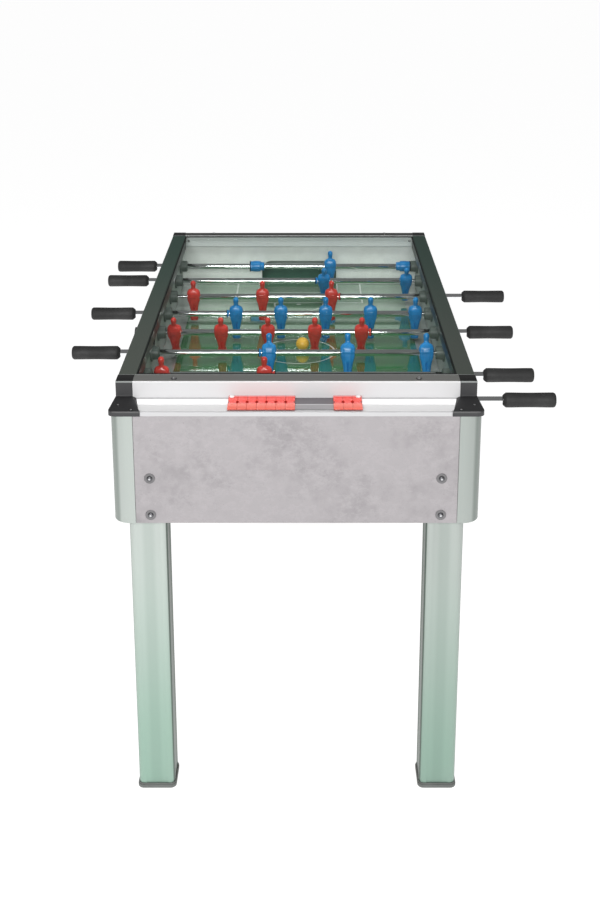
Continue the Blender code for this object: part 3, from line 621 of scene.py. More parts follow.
@shared
def cap_plastic(settings, start):
    """The corner caps: glossier on the top, with painted light: painted shade on the top and on the
    flared plate, painted highlights along the edges at the joint and the front, and a painted highlight
    on the plate's front lip.
    """
    flow = new_material("corner_cap_plastic")
    _, y, z = flow.position()
    fine = flow.noise(800.0, 2.0)
    reach = abs(y)
    top = z.rise(0.9485, 0.9495)
    joint = (1 - reach.rise(start + 0.0016, start + 0.0026)) * z.rise(0.9480, 0.9495)
    edge = reach.rise(CAP_FRONT - 0.0024, CAP_FRONT - 0.0014) * z.rise(0.9466, 0.9474)
    nose = reach.rise(CAP_FRONT + 0.0755, CAP_FRONT + 0.0765)
    base = flow.mix(
        settings.cap_black,
        # painted shade: the top is darker than the lit front face
        (top, shaded(settings.cap_black, 0.12)),
        # painted highlights along the top edges at the joint and at the front
        (edge.most(joint) * 0.8, (0.30, 0.32, 0.31)),
        # painted shade on the top of the flared plate
        (z.between(0.9113, 0.9170, 0.0006, 0.0010) * (1 - nose), shaded(settings.cap_black, 0.42)),
        # painted highlight on the plate's front lip
        (nose * z.rise(0.9095, 0.9105) * 0.6, (0.13, 0.13, 0.128)),
    )
    return surface(flow, base, 0.46 - 0.14 * top + 0.06 * fine, (fine, 0.12, 0.0004))


@shared
def fascia_metal(settings):
    """White anodised end profile with fine lines along it, with painted shade: greyer on the lower strip
    of the ledge, a painted shadow line in the seam at the foot of the upright face, and darker again just
    before the lip turns down.
    """
    flow = new_material("fascia_aluminium")
    _, y, _ = flow.position()
    drawn = flow.noise(700.0, 2.0, 0.5, (0.01, 1.0, 1.0))
    reach = abs(y)
    low = reach.between(LEDGE_STEP, LIP_FRONT, 0.0008, 0.001)
    seam = reach.between(PROFILE_FACE, PROFILE_FACE + 0.0030, 0.0004, 0.0015)
    shade = reach.rise(LIP_FRONT - 0.0050, LIP_FRONT - 0.0020) * low
    base = flow.mix(
        settings.fascia_white,
        # painted shade: the lower strip of the ledge is greyer
        (low, shaded(settings.fascia_white, 0.64)),
        # painted shadow line in the seam at the foot of the upright face
        (seam * 0.75, (0.20, 0.20, 0.21)),
        (shade * 0.5, (0.30, 0.30, 0.31)),
    )
    return surface(flow, base, 0.38 + 0.08 * drawn, (drawn, 0.04, 0.0002), Metallic=0.04)


@shared
def printed_field(settings):
    """The glossy printed field: mown stripes, grey borders, lines drawn from distances, and a painted
    reflection of the far wall that pales it towards the back.

    A line is where the distance to its shape is under half a line's width: |y| for the halfway line,
    |r - circle| for the centre circle, and the larger of two offsets for each box.
    """
    flow = new_material("field_green")
    x, y, _ = flow.position()
    across = abs(x)
    along = abs(y)
    half = settings.line / 2
    green_half = settings.green_half
    fibres = flow.noise(600.0, 3.0, 0.6, (1.0, 0.2, 1.0))
    clouds = flow.noise(7.0, 3.0)
    phase = y * (math.pi / 0.1092)
    stripe = phase.math("SINE", phase).rise(-0.06, 0.06)
    squared = x * x + y * y
    radius = squared.math("SQRT", squared)
    arc_y = along - 0.415
    squared = x * x + arc_y * arc_y
    arc = squared.math("SQRT", squared)
    drawn = [
        (along, 1 - across.rise(green_half, green_half + 0.001)),
        (abs(radius - settings.circle), 1),
        (abs((across - 0.185).most(0.430 - along)), 1),
        (abs((across - 0.115).most(0.535 - along)), 1),
        (abs(arc - 0.070), 1 - along.rise(0.428, 0.430)),
        (radius - 0.006, 1),
        (arc - 0.004, 1),
    ]
    lines = None
    for distance, where in drawn:
        mask = (1 - distance.rise(half, half + 0.0007)) * where
        lines = mask if lines is None else lines.most(mask)
    base = flow.mix(
        settings.turf,
        (stripe, settings.turf_dark),
        (fibres * 0.3, shaded(settings.turf, 1.5)),
        (across.rise(green_half, green_half + 0.0005), settings.border),
        (clouds.rise(0.4, 0.8) * 0.15, (0.05, 0.08, 0.06)),
        # painted reflection: the field pales towards the back
        (y.rise(-0.15, 0.55) * 0.30, (0.34, 0.38, 0.35)),
        (lines * 0.85, settings.chalk),
    )
    coat = {"Coat_Weight": 0.8 + 0.1 * clouds, "Coat_Roughness": 0.03, "Coat_IOR": 2.4}
    return surface(flow, base, 0.09 + 0.05 * clouds, (clouds, 0.008, 0.001), IOR=1.9, **coat)


@shared
def lining_plastic(settings):
    """The goals' lining: dark green where the ball drops, and pale above."""
    flow = new_material("goal_lining")
    _, _, z = flow.position()
    fine = flow.noise(400.0, 3.0)
    clouds = flow.noise(30.0, 3.0).rise(0.3, 0.7)
    cloudy = (clouds * 0.3, shaded(settings.goal, 0.6))
    base = flow.mix(settings.goal, cloudy, (z.rise(0.820, 0.823), shaded(settings.wall, 0.6)))
    return surface(flow, base, 0.45 + 0.1 * fine, (fine, 0.1, 0.0004))


@shared
def clear_glass(settings):
    """Toughened glass: clear straight through, with a gloss that grows towards grazing views."""
    flow = new_material("safety_glass")
    smears = flow.noise(6.0, 4.0, 0.6).rise(0.5, 0.9)
    tint = {"Color": (*settings.glass_tint, 1.0)}
    through = flow.add("ShaderNodeBsdfTransparent", inputs=tint)
    sheen = {"Base Color": (0.8, 0.85, 0.83, 1.0), "Metallic": 1.0, "Roughness": 0.03 + 0.08 * smears}
    gloss = flow.add("ShaderNodeBsdfPrincipled", inputs=sheen)
    grazing = flow.add("ShaderNodeLayerWeight", inputs={"Blend": 0.5}, output=1)
    factor = 0.012 + 0.10 * grazing.math("POWER", grazing, 4.0)
    shader = flow.add("ShaderNodeMixShader", inputs={0: factor, 1: through, 2: gloss})
    flow.add("ShaderNodeOutputMaterial", inputs={"Surface": shader})
    return flow.material


@shared
def bead_plastic(settings):
    """Translucent red plastic with a little cloudiness and a glossy skin, and painted light: a pale
    painted glow where light shows through the thin back fin, a lighter painted front slope, and a painted
    shadow line along the front foot.
    """
    flow = new_material("bead_red")
    clouds = flow.noise(120.0, 3.0)
    _, y, z = flow.position()
    reach = abs(y)
    # mask of a painted glow where light shows through the bead's thin back fin
    painted_backlit_fin = z.rise(0.9150, 0.9182) * (1 - reach.rise(0.650, 0.653))
    base = flow.mix(
        settings.bead_red,
        # painted light: the thin back fin glows pale
        (painted_backlit_fin * 0.7, (1.0, 0.42, 0.42)),
        # painted light: the front slope is lighter
        (reach.rise(0.6850, 0.6880) * 0.75, (1.0, 0.27, 0.20)),
        # painted shadow line along the front foot
        (reach.rise(0.7140, 0.7148) * 0.8, (0.35, 0.03, 0.03)),
        (clouds.rise(0.4, 0.8) * 0.2, (1.0, 0.25, 0.2)),
    )
    rough = 0.16 + 0.08 * clouds
    return surface(flow, base, rough, Transmission_Weight=0.25, IOR=1.49, Coat_Weight=0.3)


@shared
def track_paint(settings, step):
    """The beads' track: a dark strip behind the step, a pale painted highlight line on the step's edge,
    and a grey strip in front.
    """
    flow = new_material("score_track")
    _, y, _ = flow.position()
    reach = abs(y)
    drawn = flow.noise(700.0, 2.0, 0.5, (0.01, 1.0, 1.0))
    # painted highlight along the step's edge
    line = (1 - abs(reach - step - 0.0015).rise(0.0012, 0.0020)) * 0.8
    front = (reach.rise(step, step + 0.001), settings.track_mid)
    base = flow.mix(settings.track_dark, front, (line, (0.55, 0.55, 0.56)))
    return surface(flow, base, 0.35 + 0.15 * drawn, (drawn, 0.05, 0.0002))


@shared
def grip_rubber(settings):
    """Grip rubber: a dense matt grain with palms' polish along the middle."""
    flow = new_material("grip_black")
    grain = flow.noise(1400.0, 3.0, 0.6)
    worn = flow.noise(16.0, 4.0, 0.6).rise(0.42, 0.75)
    base = flow.mix(settings.grip_black, (worn, shaded(settings.grip_black, 1.7)))
    return surface(flow, base, 0.62 - 0.14 * worn + 0.06 * grain, (grain, 0.25, 0.0004))


@shared
def ball_plastic(settings):
    """Hard ball: chalky mottling and small scuffs from play."""
    flow = new_material("ball_yellow")
    clouds = flow.noise(90.0, 4.0, 0.6)
    scuffs = flow.noise(260.0, 6.0, 0.75).rise(0.6, 0.75)
    chalky = (clouds.rise(0.3, 0.7), shaded(settings.ball, 1.1))
    base = flow.mix(shaded(settings.ball, 0.9), chalky, (scuffs * 0.3, (0.35, 0.25, 0.12)))
    return surface(flow, base, 0.34 + 0.2 * scuffs, (clouds + scuffs, 0.12, 0.0003))


def raw_board(name, light, dark):
    """Plain board: long grain lines with knots of darker tone."""
    flow = new_material(name)
    rings = flow.noise(9.0, 6.0, 0.6, (1.0, 0.12, 1.0)).rise(0.3, 0.7)
    pores = flow.noise(260.0, 3.0, 0.6, (1.0, 0.04, 1.0))
    base = flow.mix(light, (rings, dark), (pores.rise(0.55, 0.75) * 0.5, shaded(dark, 0.6)))
    return surface(flow, base, 0.62 + 0.15 * pores, (pores, 0.2, 0.0005))


# Small parts


def screw(axis, centre, out, radius, height, finish_ring=0, finish_head=1):
    """A washer with a domed head on it whose socket is turned into the same profile."""
    ring = ((0.0, 0.0), (0.0, 1.55), (0.25, 1.55), (0.35, 1.457), (0.35, 0.0))
    head = (
        (0.36, 0.0), (0.36, 1.0), (0.61, 1.0), (0.86, 0.86),
        (0.98, 0.62), (0.98, 0.46), (0.56, 0.42), (0.56, 0.0),
    )
    scale = (out * height, radius)
    shells = [turned(axis, centre, np.array(ring) * scale, 24, finish=finish_ring)]
    return shells + [turned(axis, centre, np.array(head) * scale, 24, finish=finish_head)]


def rows_of(side_sign):
    """Each row's height and place along the table, and whether its tube passes this side."""
    for name, _, grip_side, *_ in ROWS:
        low, high = box(f"{name}_core_rod")
        _, y, z = (low + high) / 2
        yield y, z, grip_side == side_sign


# Legs and cabinet


def make_leg(name, settings, finish):
    """A rounded square whose sides dip by the flute's depth between two soft shoulders."""
    low, high = box(name)
    centre = (low + high)[:2] / 2
    half = (high - low)[0] / 2
    flat = half - 0.0125
    arcs = rounded(rectangle((-half, -half), (half, half)), 0.0115, 10).reshape(4, -1, 2)
    across = (-flat, -flat + 0.001, -0.0240, -0.0225, 0.0225, 0.0240, flat - 0.001, flat)
    dip = settings.leg_flute * np.array((0, 0, 0, 1, 1, 0, 0, 0))
    side = np.stack((across, dip - half), -1)
    outline = []
    for k, arc in enumerate(arcs):
        c, s = math.cos(k * math.pi / 2), math.sin(k * math.pi / 2)
        outline += [arc, side @ np.array(((c, s), (-s, c)))]
    shells = [bar("Z", np.concatenate(outline) + centre, low[2], high[2], 0.0004)]
    fixed(name, shells, [finish], 24.0)


def make_foot(name, finish):
    """A deep cap with a broad foot and a shallower collar that holds the leg."""
    low, high = box(name)
    outer = rounded(rectangle(low[:2], high[:2]), 0.0135, 10)
    inner = rounded(rectangle(low[:2] + 0.0014, high[:2] - 0.0014), 0.0125, 10)
    shells = [
        bar("Z", outer, low[2], high[2] - 0.0031, 0.0020, steps=3),
        bar("Z", inner, high[2] - 0.0030, high[2], 0.0008),
    ]
    fixed(name, shells, [finish])


class BuildLegs(bpy.types.Operator):
    """Builds the fluted square legs and their moulded feet"""

    bl_idname = "foosball.build_legs"
    bl_label = "Legs and feet"

    def execute(self, context):
        settings = context.scene.foosball_cabinet
        foot_finish = moulded_plastic("foot_plastic", settings.foot_grey, 0.5)
        for corner, _, _ in CORNERS:
            make_leg(f"leg_{corner}", settings, leg_metal(settings))
            make_foot(f"foot_{corner}", foot_finish)
        return {"FINISHED"}


def bolt(axis, centre, out, settings):
    """A washer and a button head with a hexagonal socket, whose bright metal is a painted glint."""
    head, ring = settings.bolt, settings.washer
    dome = np.linspace(0, math.pi / 2, 7)
    reach = 0.0018 + 0.0036 * np.sin(dome) * 0.9
    radius = head * (0.45 + 0.55 * np.cos(dome))
    top, lip, floor = reach[-1] + np.array((0.0, 0.00002, 0.00025))
    washer = ((0.0001, 0.0), (0.0001, ring), (0.0011, ring), (0.0015, ring - 0.0005), (0.0015, 0.0))
    button = ((0.0016, 0.0), (0.0016, head), *zip(reach, radius), (top, 0.0))
    socket = ((lip, 0.0), (lip, head * 0.42), (floor, head * 0.38), (floor, 0.0))
    shells = []
    # the socket takes finish 0, bright metal that is a painted glint in the dark head
    for profile, steps, finish in ((washer, 32, 2), (button, 32, 1), (socket, 6, 0)):
        shells.append(turned(axis, centre, np.array(profile) * (out, 1), steps, finish=finish))
    return shells


def make_bolts(place, axis, spots, out, settings):
    """The leg bolts of one face of the cabinet."""
    finishes = [
        # bright metal for the sockets: a painted glint
        metal("bolt_steel", (0.70, 0.70, 0.71), 0.34),
        metal("dark_zinc", (0.16, 0.16, 0.17), 0.3),
        metal("washer_steel", (0.24, 0.235, 0.24), 0.45),
    ]
    shells = []
    for spot in spots:
        shells += bolt(axis, spot, out, settings)
    make_piece(f"leg_bolts_{place}", shells, finishes, "cabinet")


def make_side(side, sign, finish):
    """A board pierced by its bearings.

    Round each hole, a cell of the board runs from the circle (t = 0) out to its own rectangle
    (t = 1): point = circle + t (rectangle - circle), with the same number of points on both, so that
    neighbouring cells share theirs. Each cell carries its two faces and its hole's wall. The board's own
    edge is closed by quads between the rims of its two faces.
    """
    low, high = box(f"side_panel_{side}")
    holes = [(y, z, 0.01725) for y, z, _ in rows_of(sign)]
    if sign < 0:
        inlet_low, inlet_high = box("ball_inlet")
        _, y, z = (inlet_low + inlet_high) / 2
        holes.append((y, z, 0.0246))
    holes.sort()
    middles = [(a[0] + b[0]) / 2 for a, b in zip(holes, holes[1:])]
    cuts = [low[1], *middles, high[1]]
    cells = []
    share = np.linspace(0, 1, 13)[:-1]
    for k, (y, z, radius) in enumerate(holes):
        corners = rectangle((cuts[k], low[2]), (cuts[k + 1], high[2]))
        ahead = np.roll(corners, -1, 0)
        rim = (corners[:, None] + share[:, None] * (ahead - corners)[:, None]).reshape(-1, 2)
        angle = np.arctan2(rim[:, 1] - z, rim[:, 0] - y)
        circle = np.stack((y + radius * np.cos(angle), z + radius * np.sin(angle)), -1)
        t = np.array((0.0, 0.12, 1.0))[:, None, None]
        sheet = circle + t * (rim - circle)
        near, far = (placed("X", sign * x, *np.moveaxis(sheet, 2, 0)) for x in (BOARD_INNER, BOARD_OUTER))
        cells.append(grid(np.concatenate((near[::-1], far))))
    points, faces, _ = merged(cells)
    _, kept, which = np.unique(np.round(points, 6), axis=0, return_index=True, return_inverse=True)
    faces = [which.reshape(-1)[face].tolist() for face in faces]
    mesh = bpy.data.meshes.new("side_board_cells")
    mesh.from_pydata(points[kept].tolist(), [], faces)
    bm = bmesh.new()
    bm.from_mesh(mesh)
    bmesh.ops.bridge_loops(bm, edges=[edge for edge in bm.edges if len(edge.link_faces) == 1])
    bm.to_mesh(mesh)
    bm.free()
    points = np.array([vertex.co for vertex in mesh.vertices])
    faces = [list(face.vertices) for face in mesh.polygons]
    bpy.data.meshes.remove(mesh)
    fixed(f"side_panel_{side}", [(points, faces, 0)], [finish])


def make_post(name, side_sign, end_sign, settings):
    """An angle profile round the corner.

    Near the bottom, the profile shrinks towards its two free edges by r (1 - cos), as its height
    rises by r (1 - sin), so the outer faces turn under in a quarter circle of radius r.
    """
    low, high = box(name)
    wide, deep = size = (high - low)[:2]
    wall = 0.0030
    corners = (
        (0.0, deep - wall), (0.0, deep), (wide, deep), (wide, 0.0), (wide - wall, 0.0),
        (wide - wall, deep - wall),
    )
    outline = rounded(corners, (0.0008, 0.0008, 0.0360, 0.0008, 0.0008, 0.0330), 12)
    radius = settings.post_bottom
    angle = np.linspace(math.pi / 2, 0, 7)
    drawn = np.concatenate((radius * (1 - np.cos(angle)), [0.0, 0.0]))
    height = np.concatenate((low[2] + radius * (1 - np.sin(angle)), [high[2] - 0.0004, high[2]]))
    rows = outline[None] * (1 - drawn[:, None, None] / size)
    x = rows[..., 0] + abs(low[0] if side_sign > 0 else high[0])
    y = rows[..., 1] + abs(low[1] if end_sign > 0 else high[1])
    shells = [grid(placed("Z", height[:, None], side_sign * x, end_sign * y), ends=True)]
    fixed(name, shells, [leg_metal(settings)], 24.0)


class BuildCabinet(bpy.types.Operator):
    """Builds the boards, the corner posts and the leg bolts"""

    bl_idname = "foosball.build_cabinet"
    bl_label = "Boards, posts and bolts"

    def execute(self, context):
        settings = context.scene.foosball_cabinet
        for end, sign in ENDS:
            low, high = box(f"end_panel_{end}")
            shells = [slab(low, high, 0.0008, "Y")]
            fixed(f"end_panel_{end}", shells, [concrete_laminate(settings)])
            face = low[1] if sign < 0 else high[1]
            spots = [(x, face, z) for x in (-0.3055, 0.3025) for z in BOLT_HEIGHTS]
            make_bolts(end, "Y", spots, sign, settings)
        for side, sign in SIDES:
            spots = []
            for end, end_sign in ENDS:
                low, high = box(f"leg_{end}_{side}")
                y = (low + high)[1] / 2 - end_sign * 0.018
                spots += [(sign * BOARD_OUTER, y, z) for z in BOLT_HEIGHTS]
            make_bolts(side, "X", spots, sign, settings)
            make_side(side, sign, side_board(settings))
        for corner, side_sign, end_sign in CORNERS:
            make_post(f"corner_post_{corner}", side_sign, end_sign, settings)
        board = raw_board("plain_board", (0.33, 0.26, 0.17), (0.20, 0.15, 0.10))
        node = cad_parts["bottom_board"]
        node.data.materials.clear()
        node.data.materials.append(board)
        return {"FINISHED"}


# Top frame and end profiles


def make_gasket(settings, rail_inner, bar_inner, base):
    """A rounded rubber strip on the glass along the four inner edges, wider at the ends."""
    rubber = moulded_plastic("gasket_rubber", RUBBER_BLACK, 0.6, 500.0)
    wide = settings.gasket
    end_wide = 2.8 * wide
    low, high = base + 0.0002, base + 0.0024
    shells = []
    for _, sign in SIDES:
        near = (sign * (rail_inner - wide), end_wide - bar_inner, low)
        far = (sign * (rail_inner - 0.0002), bar_inner - end_wide, high)
        shells.append(slab(near, far, 0.0007, "Y"))
    for _, sign in ENDS:
        reach = rail_inner - 0.0002
        near = (-reach, sign * (bar_inner - end_wide), low)
        far = (reach, sign * (bar_inner - 0.0002), high)
        shells.append(slab(near, far, 0.0007, "X"))
    make_piece("glass_gasket", shells, [rubber], "cabinet")


def make_cap(name, side_sign, end_sign, finishes):
    """A moulded cover: one section in y and z carried across x.

    Across the table it goes from a(y) to b(y), which flare apart past the fascia, and in plan its
    outer front corner is an ellipse: y <= end - r + r sqrt(1 - ((x - c) / r)^2) past x = c.
    """
    low, high = np.sort(np.abs(np.array(box(name))), axis=0)
    start, end = low[1], high[1]
    floor = LEDGE + GAP
    plate = floor + 0.0040
    plate_fall = 0.0036
    corners = (
        (start, floor), (start, high[2]), (CAP_FRONT, high[2]), (CAP_FRONT, plate),
        (end, plate - plate_fall), (end, low[2]), (end - 0.0130, low[2]), (end - 0.0130, floor),
    )
    radii = (0.0005, 0.0012, 0.0022, 0.0022, 0.0016, 0.0008, 0.0004, 0.0004)
    section = rounded(corners, radii, 4)
    share = np.clip((section[:, 0] - CAP_FRONT) / (end - CAP_FRONT), 0, 1)
    inner = 0.3450 - 0.0240 * share
    outer = 0.3800 + 0.0070 * (1 - (1 - share) ** 2.5)
    t = np.concatenate(([0.0, 0.0], np.linspace(0.04, 0.66, 6), np.linspace(0.70, 1.0, 12), [1]))
    x = inner + t[:, None] * (outer - inner)
    corner = 0.0200
    past = np.clip((x - (outer - corner)) / corner, 0, 1)
    y = np.minimum(section[:, 0], end - corner * 0.55 * (1 - np.sqrt(1 - past**2)))
    shells = [grid(placed("X", x * side_sign, y * end_sign, section[:, 1]), ends=True)]
    signs = (side_sign, end_sign, 1)
    near = np.array((0.3458, 0.6790, low[2] + 0.0002)) * signs
    far = np.array((0.3855, end - 0.0135, floor + 0.0002)) * signs
    shells.append(slab(near, far, 0.0006, "Z", 0.0030))
    for x, y in ((0.3695, 0.6889), (0.3400, 0.7140)):
        z = plate - plate_fall * (y - CAP_FRONT) / (end - CAP_FRONT) - 0.0002
        shells += screw("Z", (x * side_sign, y * end_sign, z), 1, 0.0022, 0.0018)
    fixed(name, shells, finishes, 25.0)


class BuildTopFrame(bpy.types.Operator):
    """Builds the rails, the end bars, the gasket, the corner caps and their screws"""

    bl_idname = "foosball.build_top_frame"
    bl_label = "Top frame"

    def execute(self, context):
        settings = context.scene.foosball_frame
        glass_low, glass_high = box("glass_top")
        rail = box("side_rail_left")[1]
        rail_inner, top = abs(rail[0]), rail[2]
        bar_inner = abs(box("end_bar_front")[1][1])
        paint = rail_paint(settings, rail_inner)
        grey = bar_paint(settings, bar_inner)
        black = moulded_plastic("black_plastic", settings.cap_black, 0.42)
        groove = glass_high[0] + GAP
        roof, sill = glass_high[2] + GAP, glass_low[2] - GAP
        for side, sign in SIDES:
            name = f"side_rail_{side}"
            low, high = box(name)
            inner, outer = sorted((abs(low[0]), abs(high[0])))
            corners = (
                (inner, low[2]), (outer, low[2]), (outer, top), (inner, top),
                (inner, roof), (groove, roof), (groove, sill), (inner, sill),
            )
            radii = (0.001, 0.0015, settings.edge, 0.001, 0.0004, 0.0, 0.0, 0.0004)
            outline = rounded(np.array(corners) * (sign, 1), radii, 3)
            fixed(name, [bar("Y", outline, low[1], high[1], 0.0006)], [paint])
        screws = []
        for end, sign in ENDS:
            name = f"end_bar_{end}"
            low, high = box(name)
            fixed(name, [slab(low, high, 0.0008, "X")], [grey])
            for x in (-0.2585, 0.2585):
                spot = (x, sign * (bar_inner + 0.0270), top)
                screws += screw("Z", spot, 1, settings.screw, 0.0030)
            for x in (-0.3330, 0.3330):
                screws += screw("Y", (x, sign * bar_inner, 0.9340), -sign, 0.0022, 0.0018)
        make_piece("frame_screws", screws, [black, metal(*ZINC)], "cabinet")
        make_gasket(settings, rail_inner, bar_inner, glass_high[2])
        finishes = [cap_plastic(settings, bar_inner), metal(*ZINC)]
        for corner, side_sign, end_sign in CORNERS:
            make_cap(f"corner_cap_{corner}", side_sign, end_sign, finishes)
        return {"FINISHED"}


class BuildFascias(bpy.types.Operator):
    """Builds the pale end profiles with their ledges and lips"""

    bl_idname = "foosball.build_fascias"
    bl_label = "End profiles"

    def execute(self, context):
        settings = context.scene.foosball_frame
        lower = LEDGE - 0.0015
        under = LEDGE - 0.0045
        seam = 0.7100
        for end, sign in ENDS:
            name = f"end_fascia_{end}"
            low, high = np.sort(np.abs(np.array(box(name))), axis=0)
            wide, front, top = high
            corners = (
                (low[1], under), (low[1], top), (PROFILE_FACE, top), (PROFILE_FACE, LEDGE),
                (LEDGE_STEP, LEDGE), (LEDGE_STEP + 0.0015, lower), (seam, lower), (seam, under),
            )
            radii = (0.0004, 0.0006, 0.0012, 0.0010, 0.0006, 0.0006, 0.0004, 0.0004)
            upper = rounded(np.array(corners) * (sign, 1), radii, 3)
            beside = seam + 0.0001
            corners = (
                (beside, low[2]), (beside, lower - 0.0001), (0.7170, lower - 0.0001),
                (0.7190, LEDGE), (front, LEDGE), (front, low[2]),
            )
            radii = (0.0004, 0.0002, 0.0008, 0.0008, 0.0018, 0.0008)
            lip = rounded(np.array(corners) * (sign, 1), radii, 4)
            narrow = wide - 0.0240
            shells = [bar("X", upper, -wide, wide, 0.0003), bar("X", lip, -narrow, narrow, 0.0003)]
            fixed(name, shells, [fascia_metal(settings)])
        return {"FINISHED"}


# Field, goals and bearings


def make_goal_wall(name, finish):
    """A wall as one rounded section in y and z carried across x, cut up from below by its mouth.

    The section's bottom is the field, or inside the mouth its top, less r - sqrt(r^2 - (|x| - c)^2)
    over the mouth's round corners. Its top steps down past the rails. Two stations stand at each step.
    """
    low, high = box(name)
    half_goal, mouth_top, corner = 0.1130, 0.8666, 0.030
    shoulder = 0.3447
    arc = half_goal - corner * (1 - np.sin(np.linspace(0, math.pi / 2, 13)))
    outer = (half_goal, shoulder - 0.0008, shoulder, shoulder, high[0] - 0.0006, high[0])
    near = np.concatenate(([0.0], arc, outer))
    past = np.clip((near - (half_goal - corner)) / corner, 0, 1)
    bottom = mouth_top - corner * (1 - np.sqrt(1 - past**2))
    bottom[len(arc) + 1 :] = low[2]
    top = np.full(len(near), high[2])
    top[-3:] = LEDGE
    x = np.concatenate((-near[:0:-1], near))
    bottom = np.concatenate((bottom[:0:-1], bottom))[:, None]
    top = np.concatenate((top[:0:-1], top))[:, None]
    edge = 0.0012
    turn = np.linspace(0, math.pi / 2, 4)
    inset, rise = edge * (1 - np.cos(turn)), edge * (1 - np.sin(turn))
    y = np.concatenate((low[1] + rise[::-1], high[1] - rise))
    y = np.concatenate((y, y[::-1]))
    fall = np.concatenate((inset[::-1], inset))
    z = np.concatenate((bottom + fall, top - fall[::-1]), 1)
    fixed(name, [grid(placed("X", x[:, None], y, z), ends=True)], [finish])


def make_lining(name, sign, finish):
    """A lining of five boards behind the mouth."""
    near, far = 0.6382, 0.6970
    wide, low, high, wall = 0.1240, 0.7860, 0.8780, 0.0025
    inner = wide - wall - 0.0002
    behind = far - wall
    boards = (
        ((-wide, near, low), (wall - wide, far, high)),
        ((wide, near, low), (wide - wall, far, high)),
        ((-inner, near, low), (inner, behind - 0.0002, low + wall)),
        ((-inner, near, high - wall), (inner, behind - 0.0002, high)),
        ((-inner, behind, low), (inner, far, high)),
    )
    flip = (1, sign, 1)
    shells = [slab(np.array(a) * flip, np.array(b) * flip, 0.0005) for a, b in boards]
    make_piece(name, shells, [finish], "cabinet")


class BuildField(bpy.types.Operator):
    """Builds the playfield, the goal walls, the goals' linings and the glass"""

    bl_idname = "foosball.build_field"
    bl_label = "Field, goals and glass"

    def execute(self, context):
        settings = context.scene.foosball_field
        field = slab(*box("playfield"), 0.0006)
        fixed("playfield", [field], [printed_field(settings)])
        wall = moulded_plastic("wall_grey", settings.wall, 0.40, 300.0, 0.05)
        for end, sign in ENDS:
            make_goal_wall(f"goal_wall_{end}", wall)
            make_lining(f"goal_lining_{end}", sign, lining_plastic(settings))
        glass = slab(*box("glass_top"), 0.0008, "Z", 0.0030)
        fixed("glass_top", [glass], [clear_glass(settings)])
        return {"FINISHED"}


def make_bearings(side, sign, finishes):
    """One side's bearings: a flange on each face of the board, and two screws in the outer one."""
    shells = []
    for y, z, tube in rows_of(sign):
        bore = 0.0086 if tube else 0.0056
        profile = (
            (0.3335, bore + 0.0006), (0.3335, 0.0142), (0.3350, 0.0160), (0.3500, 0.0168),
            (0.3500, 0.0215), (0.3541, 0.0222), (0.3541, 0.0170), (0.3770, 0.0170),
            (0.3770, 0.0215), (0.3790, 0.0210), (0.3790, 0.0150), (0.3805, 0.0140),
            (0.3805, bore + 0.0006), (0.3795, bore), (0.3345, bore),
        )
        outline = rounded(profile, 0.0004, 2) * (sign, 1)
        shells.append(turned("X", (0.0, y, z), outline, 40, closed=True))
        for turn in (math.pi / 4, 5 * math.pi / 4):
            spot = (sign * 0.3792, y + 0.0180 * math.cos(turn), z + 0.0180 * math.sin(turn))
            shells += screw("X", spot, sign, 0.0016, 0.0012, finish_ring=1)
    make_piece(f"rod_bearings_{side}", shells, finishes, "cabinet", (), 28.0)


def make_inlet(finish):
    """A sleeve through the board that opens into a cup outside, with a rolled rim."""
    low, high = box("ball_inlet")
    _, y, z = (low + high) / 2
    corners = (
        (high[0], 0.0215), (high[0], 0.0240), (-0.3768, 0.0240), (-0.3768, 0.0290),
        (-0.3805, 0.0290), (-0.3830, 0.0262), (-0.3985, 0.0262), (low[0], 0.0268),
        (low[0], 0.0240), (-0.3830, 0.0215),
    )
    radii = (0.001, 0.001, 0.0003, 0.001, 0.001, 0.001, 0.0003, 0.0009, 0.0009, 0.003)
    shells = [turned("X", (0.0, y, z), rounded(corners, radii, 3), 48, closed=True)]
    fixed("ball_inlet", shells, [finish], 28.0)


class BuildBearings(bpy.types.Operator):
    """Builds the rods' bearings on both sides and the ball inlet"""

    bl_idname = "foosball.build_bearings"
    bl_label = "Bearings and ball inlet"

    def execute(self, context):
        grey = moulded_plastic("bearing_grey", (0.105, 0.130, 0.116), 0.40)
        for side, sign in SIDES:
            make_bearings(side, sign, [grey, metal(*ZINC)])
        tint = shaded(context.scene.foosball_frame.cap_black, 0.55)
        make_inlet(moulded_plastic("bearing_black", tint, 0.35))
        return {"FINISHED"}


# Rods and ball


def make_core_rod(name, centre, side, low, high, finish):
    """The slim rod that the tube slides on: a domed head outside, and a chamfered inner end."""
    head, tip = (low[0], high[0]) if side > 0 else (high[0], low[0])
    profile = (
        (head, 0.0), (head, 0.0055), (head + side * 0.0010, 0.0078), (head + side * 0.0024, 0.0088),
        (head + side * 0.0038, 0.0088), (head + side * 0.0038, 0.0050), (tip - side * 0.0010, 0.0050),
        (tip, 0.0040), (tip, 0.0),
    )
    shells = [turned("X", centre, profile, 32)]
    node = f"{name}_core_rod"
    make_piece(node, shells, [finish], f"{name}_core", [node], 30.0)


def row_places(players, pitch, side, low, high):
    """Where the players and collars stand, from the row's own box.

    The outermost player or collar fills the box's end away from the grip, and the others follow at
    the row's pitch. A collar is (x, radius, half length, side of its washer).
    """
    far = low[0] if side > 0 else high[0]
    if players == 1:
        half, apart = 0.0215, 0.2185
        first, keeper, last = (far + side * (half + i * apart) for i in range(3))
        return [keeper], [(first, 0.0165, half, -side), (last, 0.0165, half, side)]
    figures = [far + side * (0.018 + i * pitch) for i in range(players)]
    return figures, [(figures[-1] + side * 0.02205, 0.0105, 0.00375, side)]


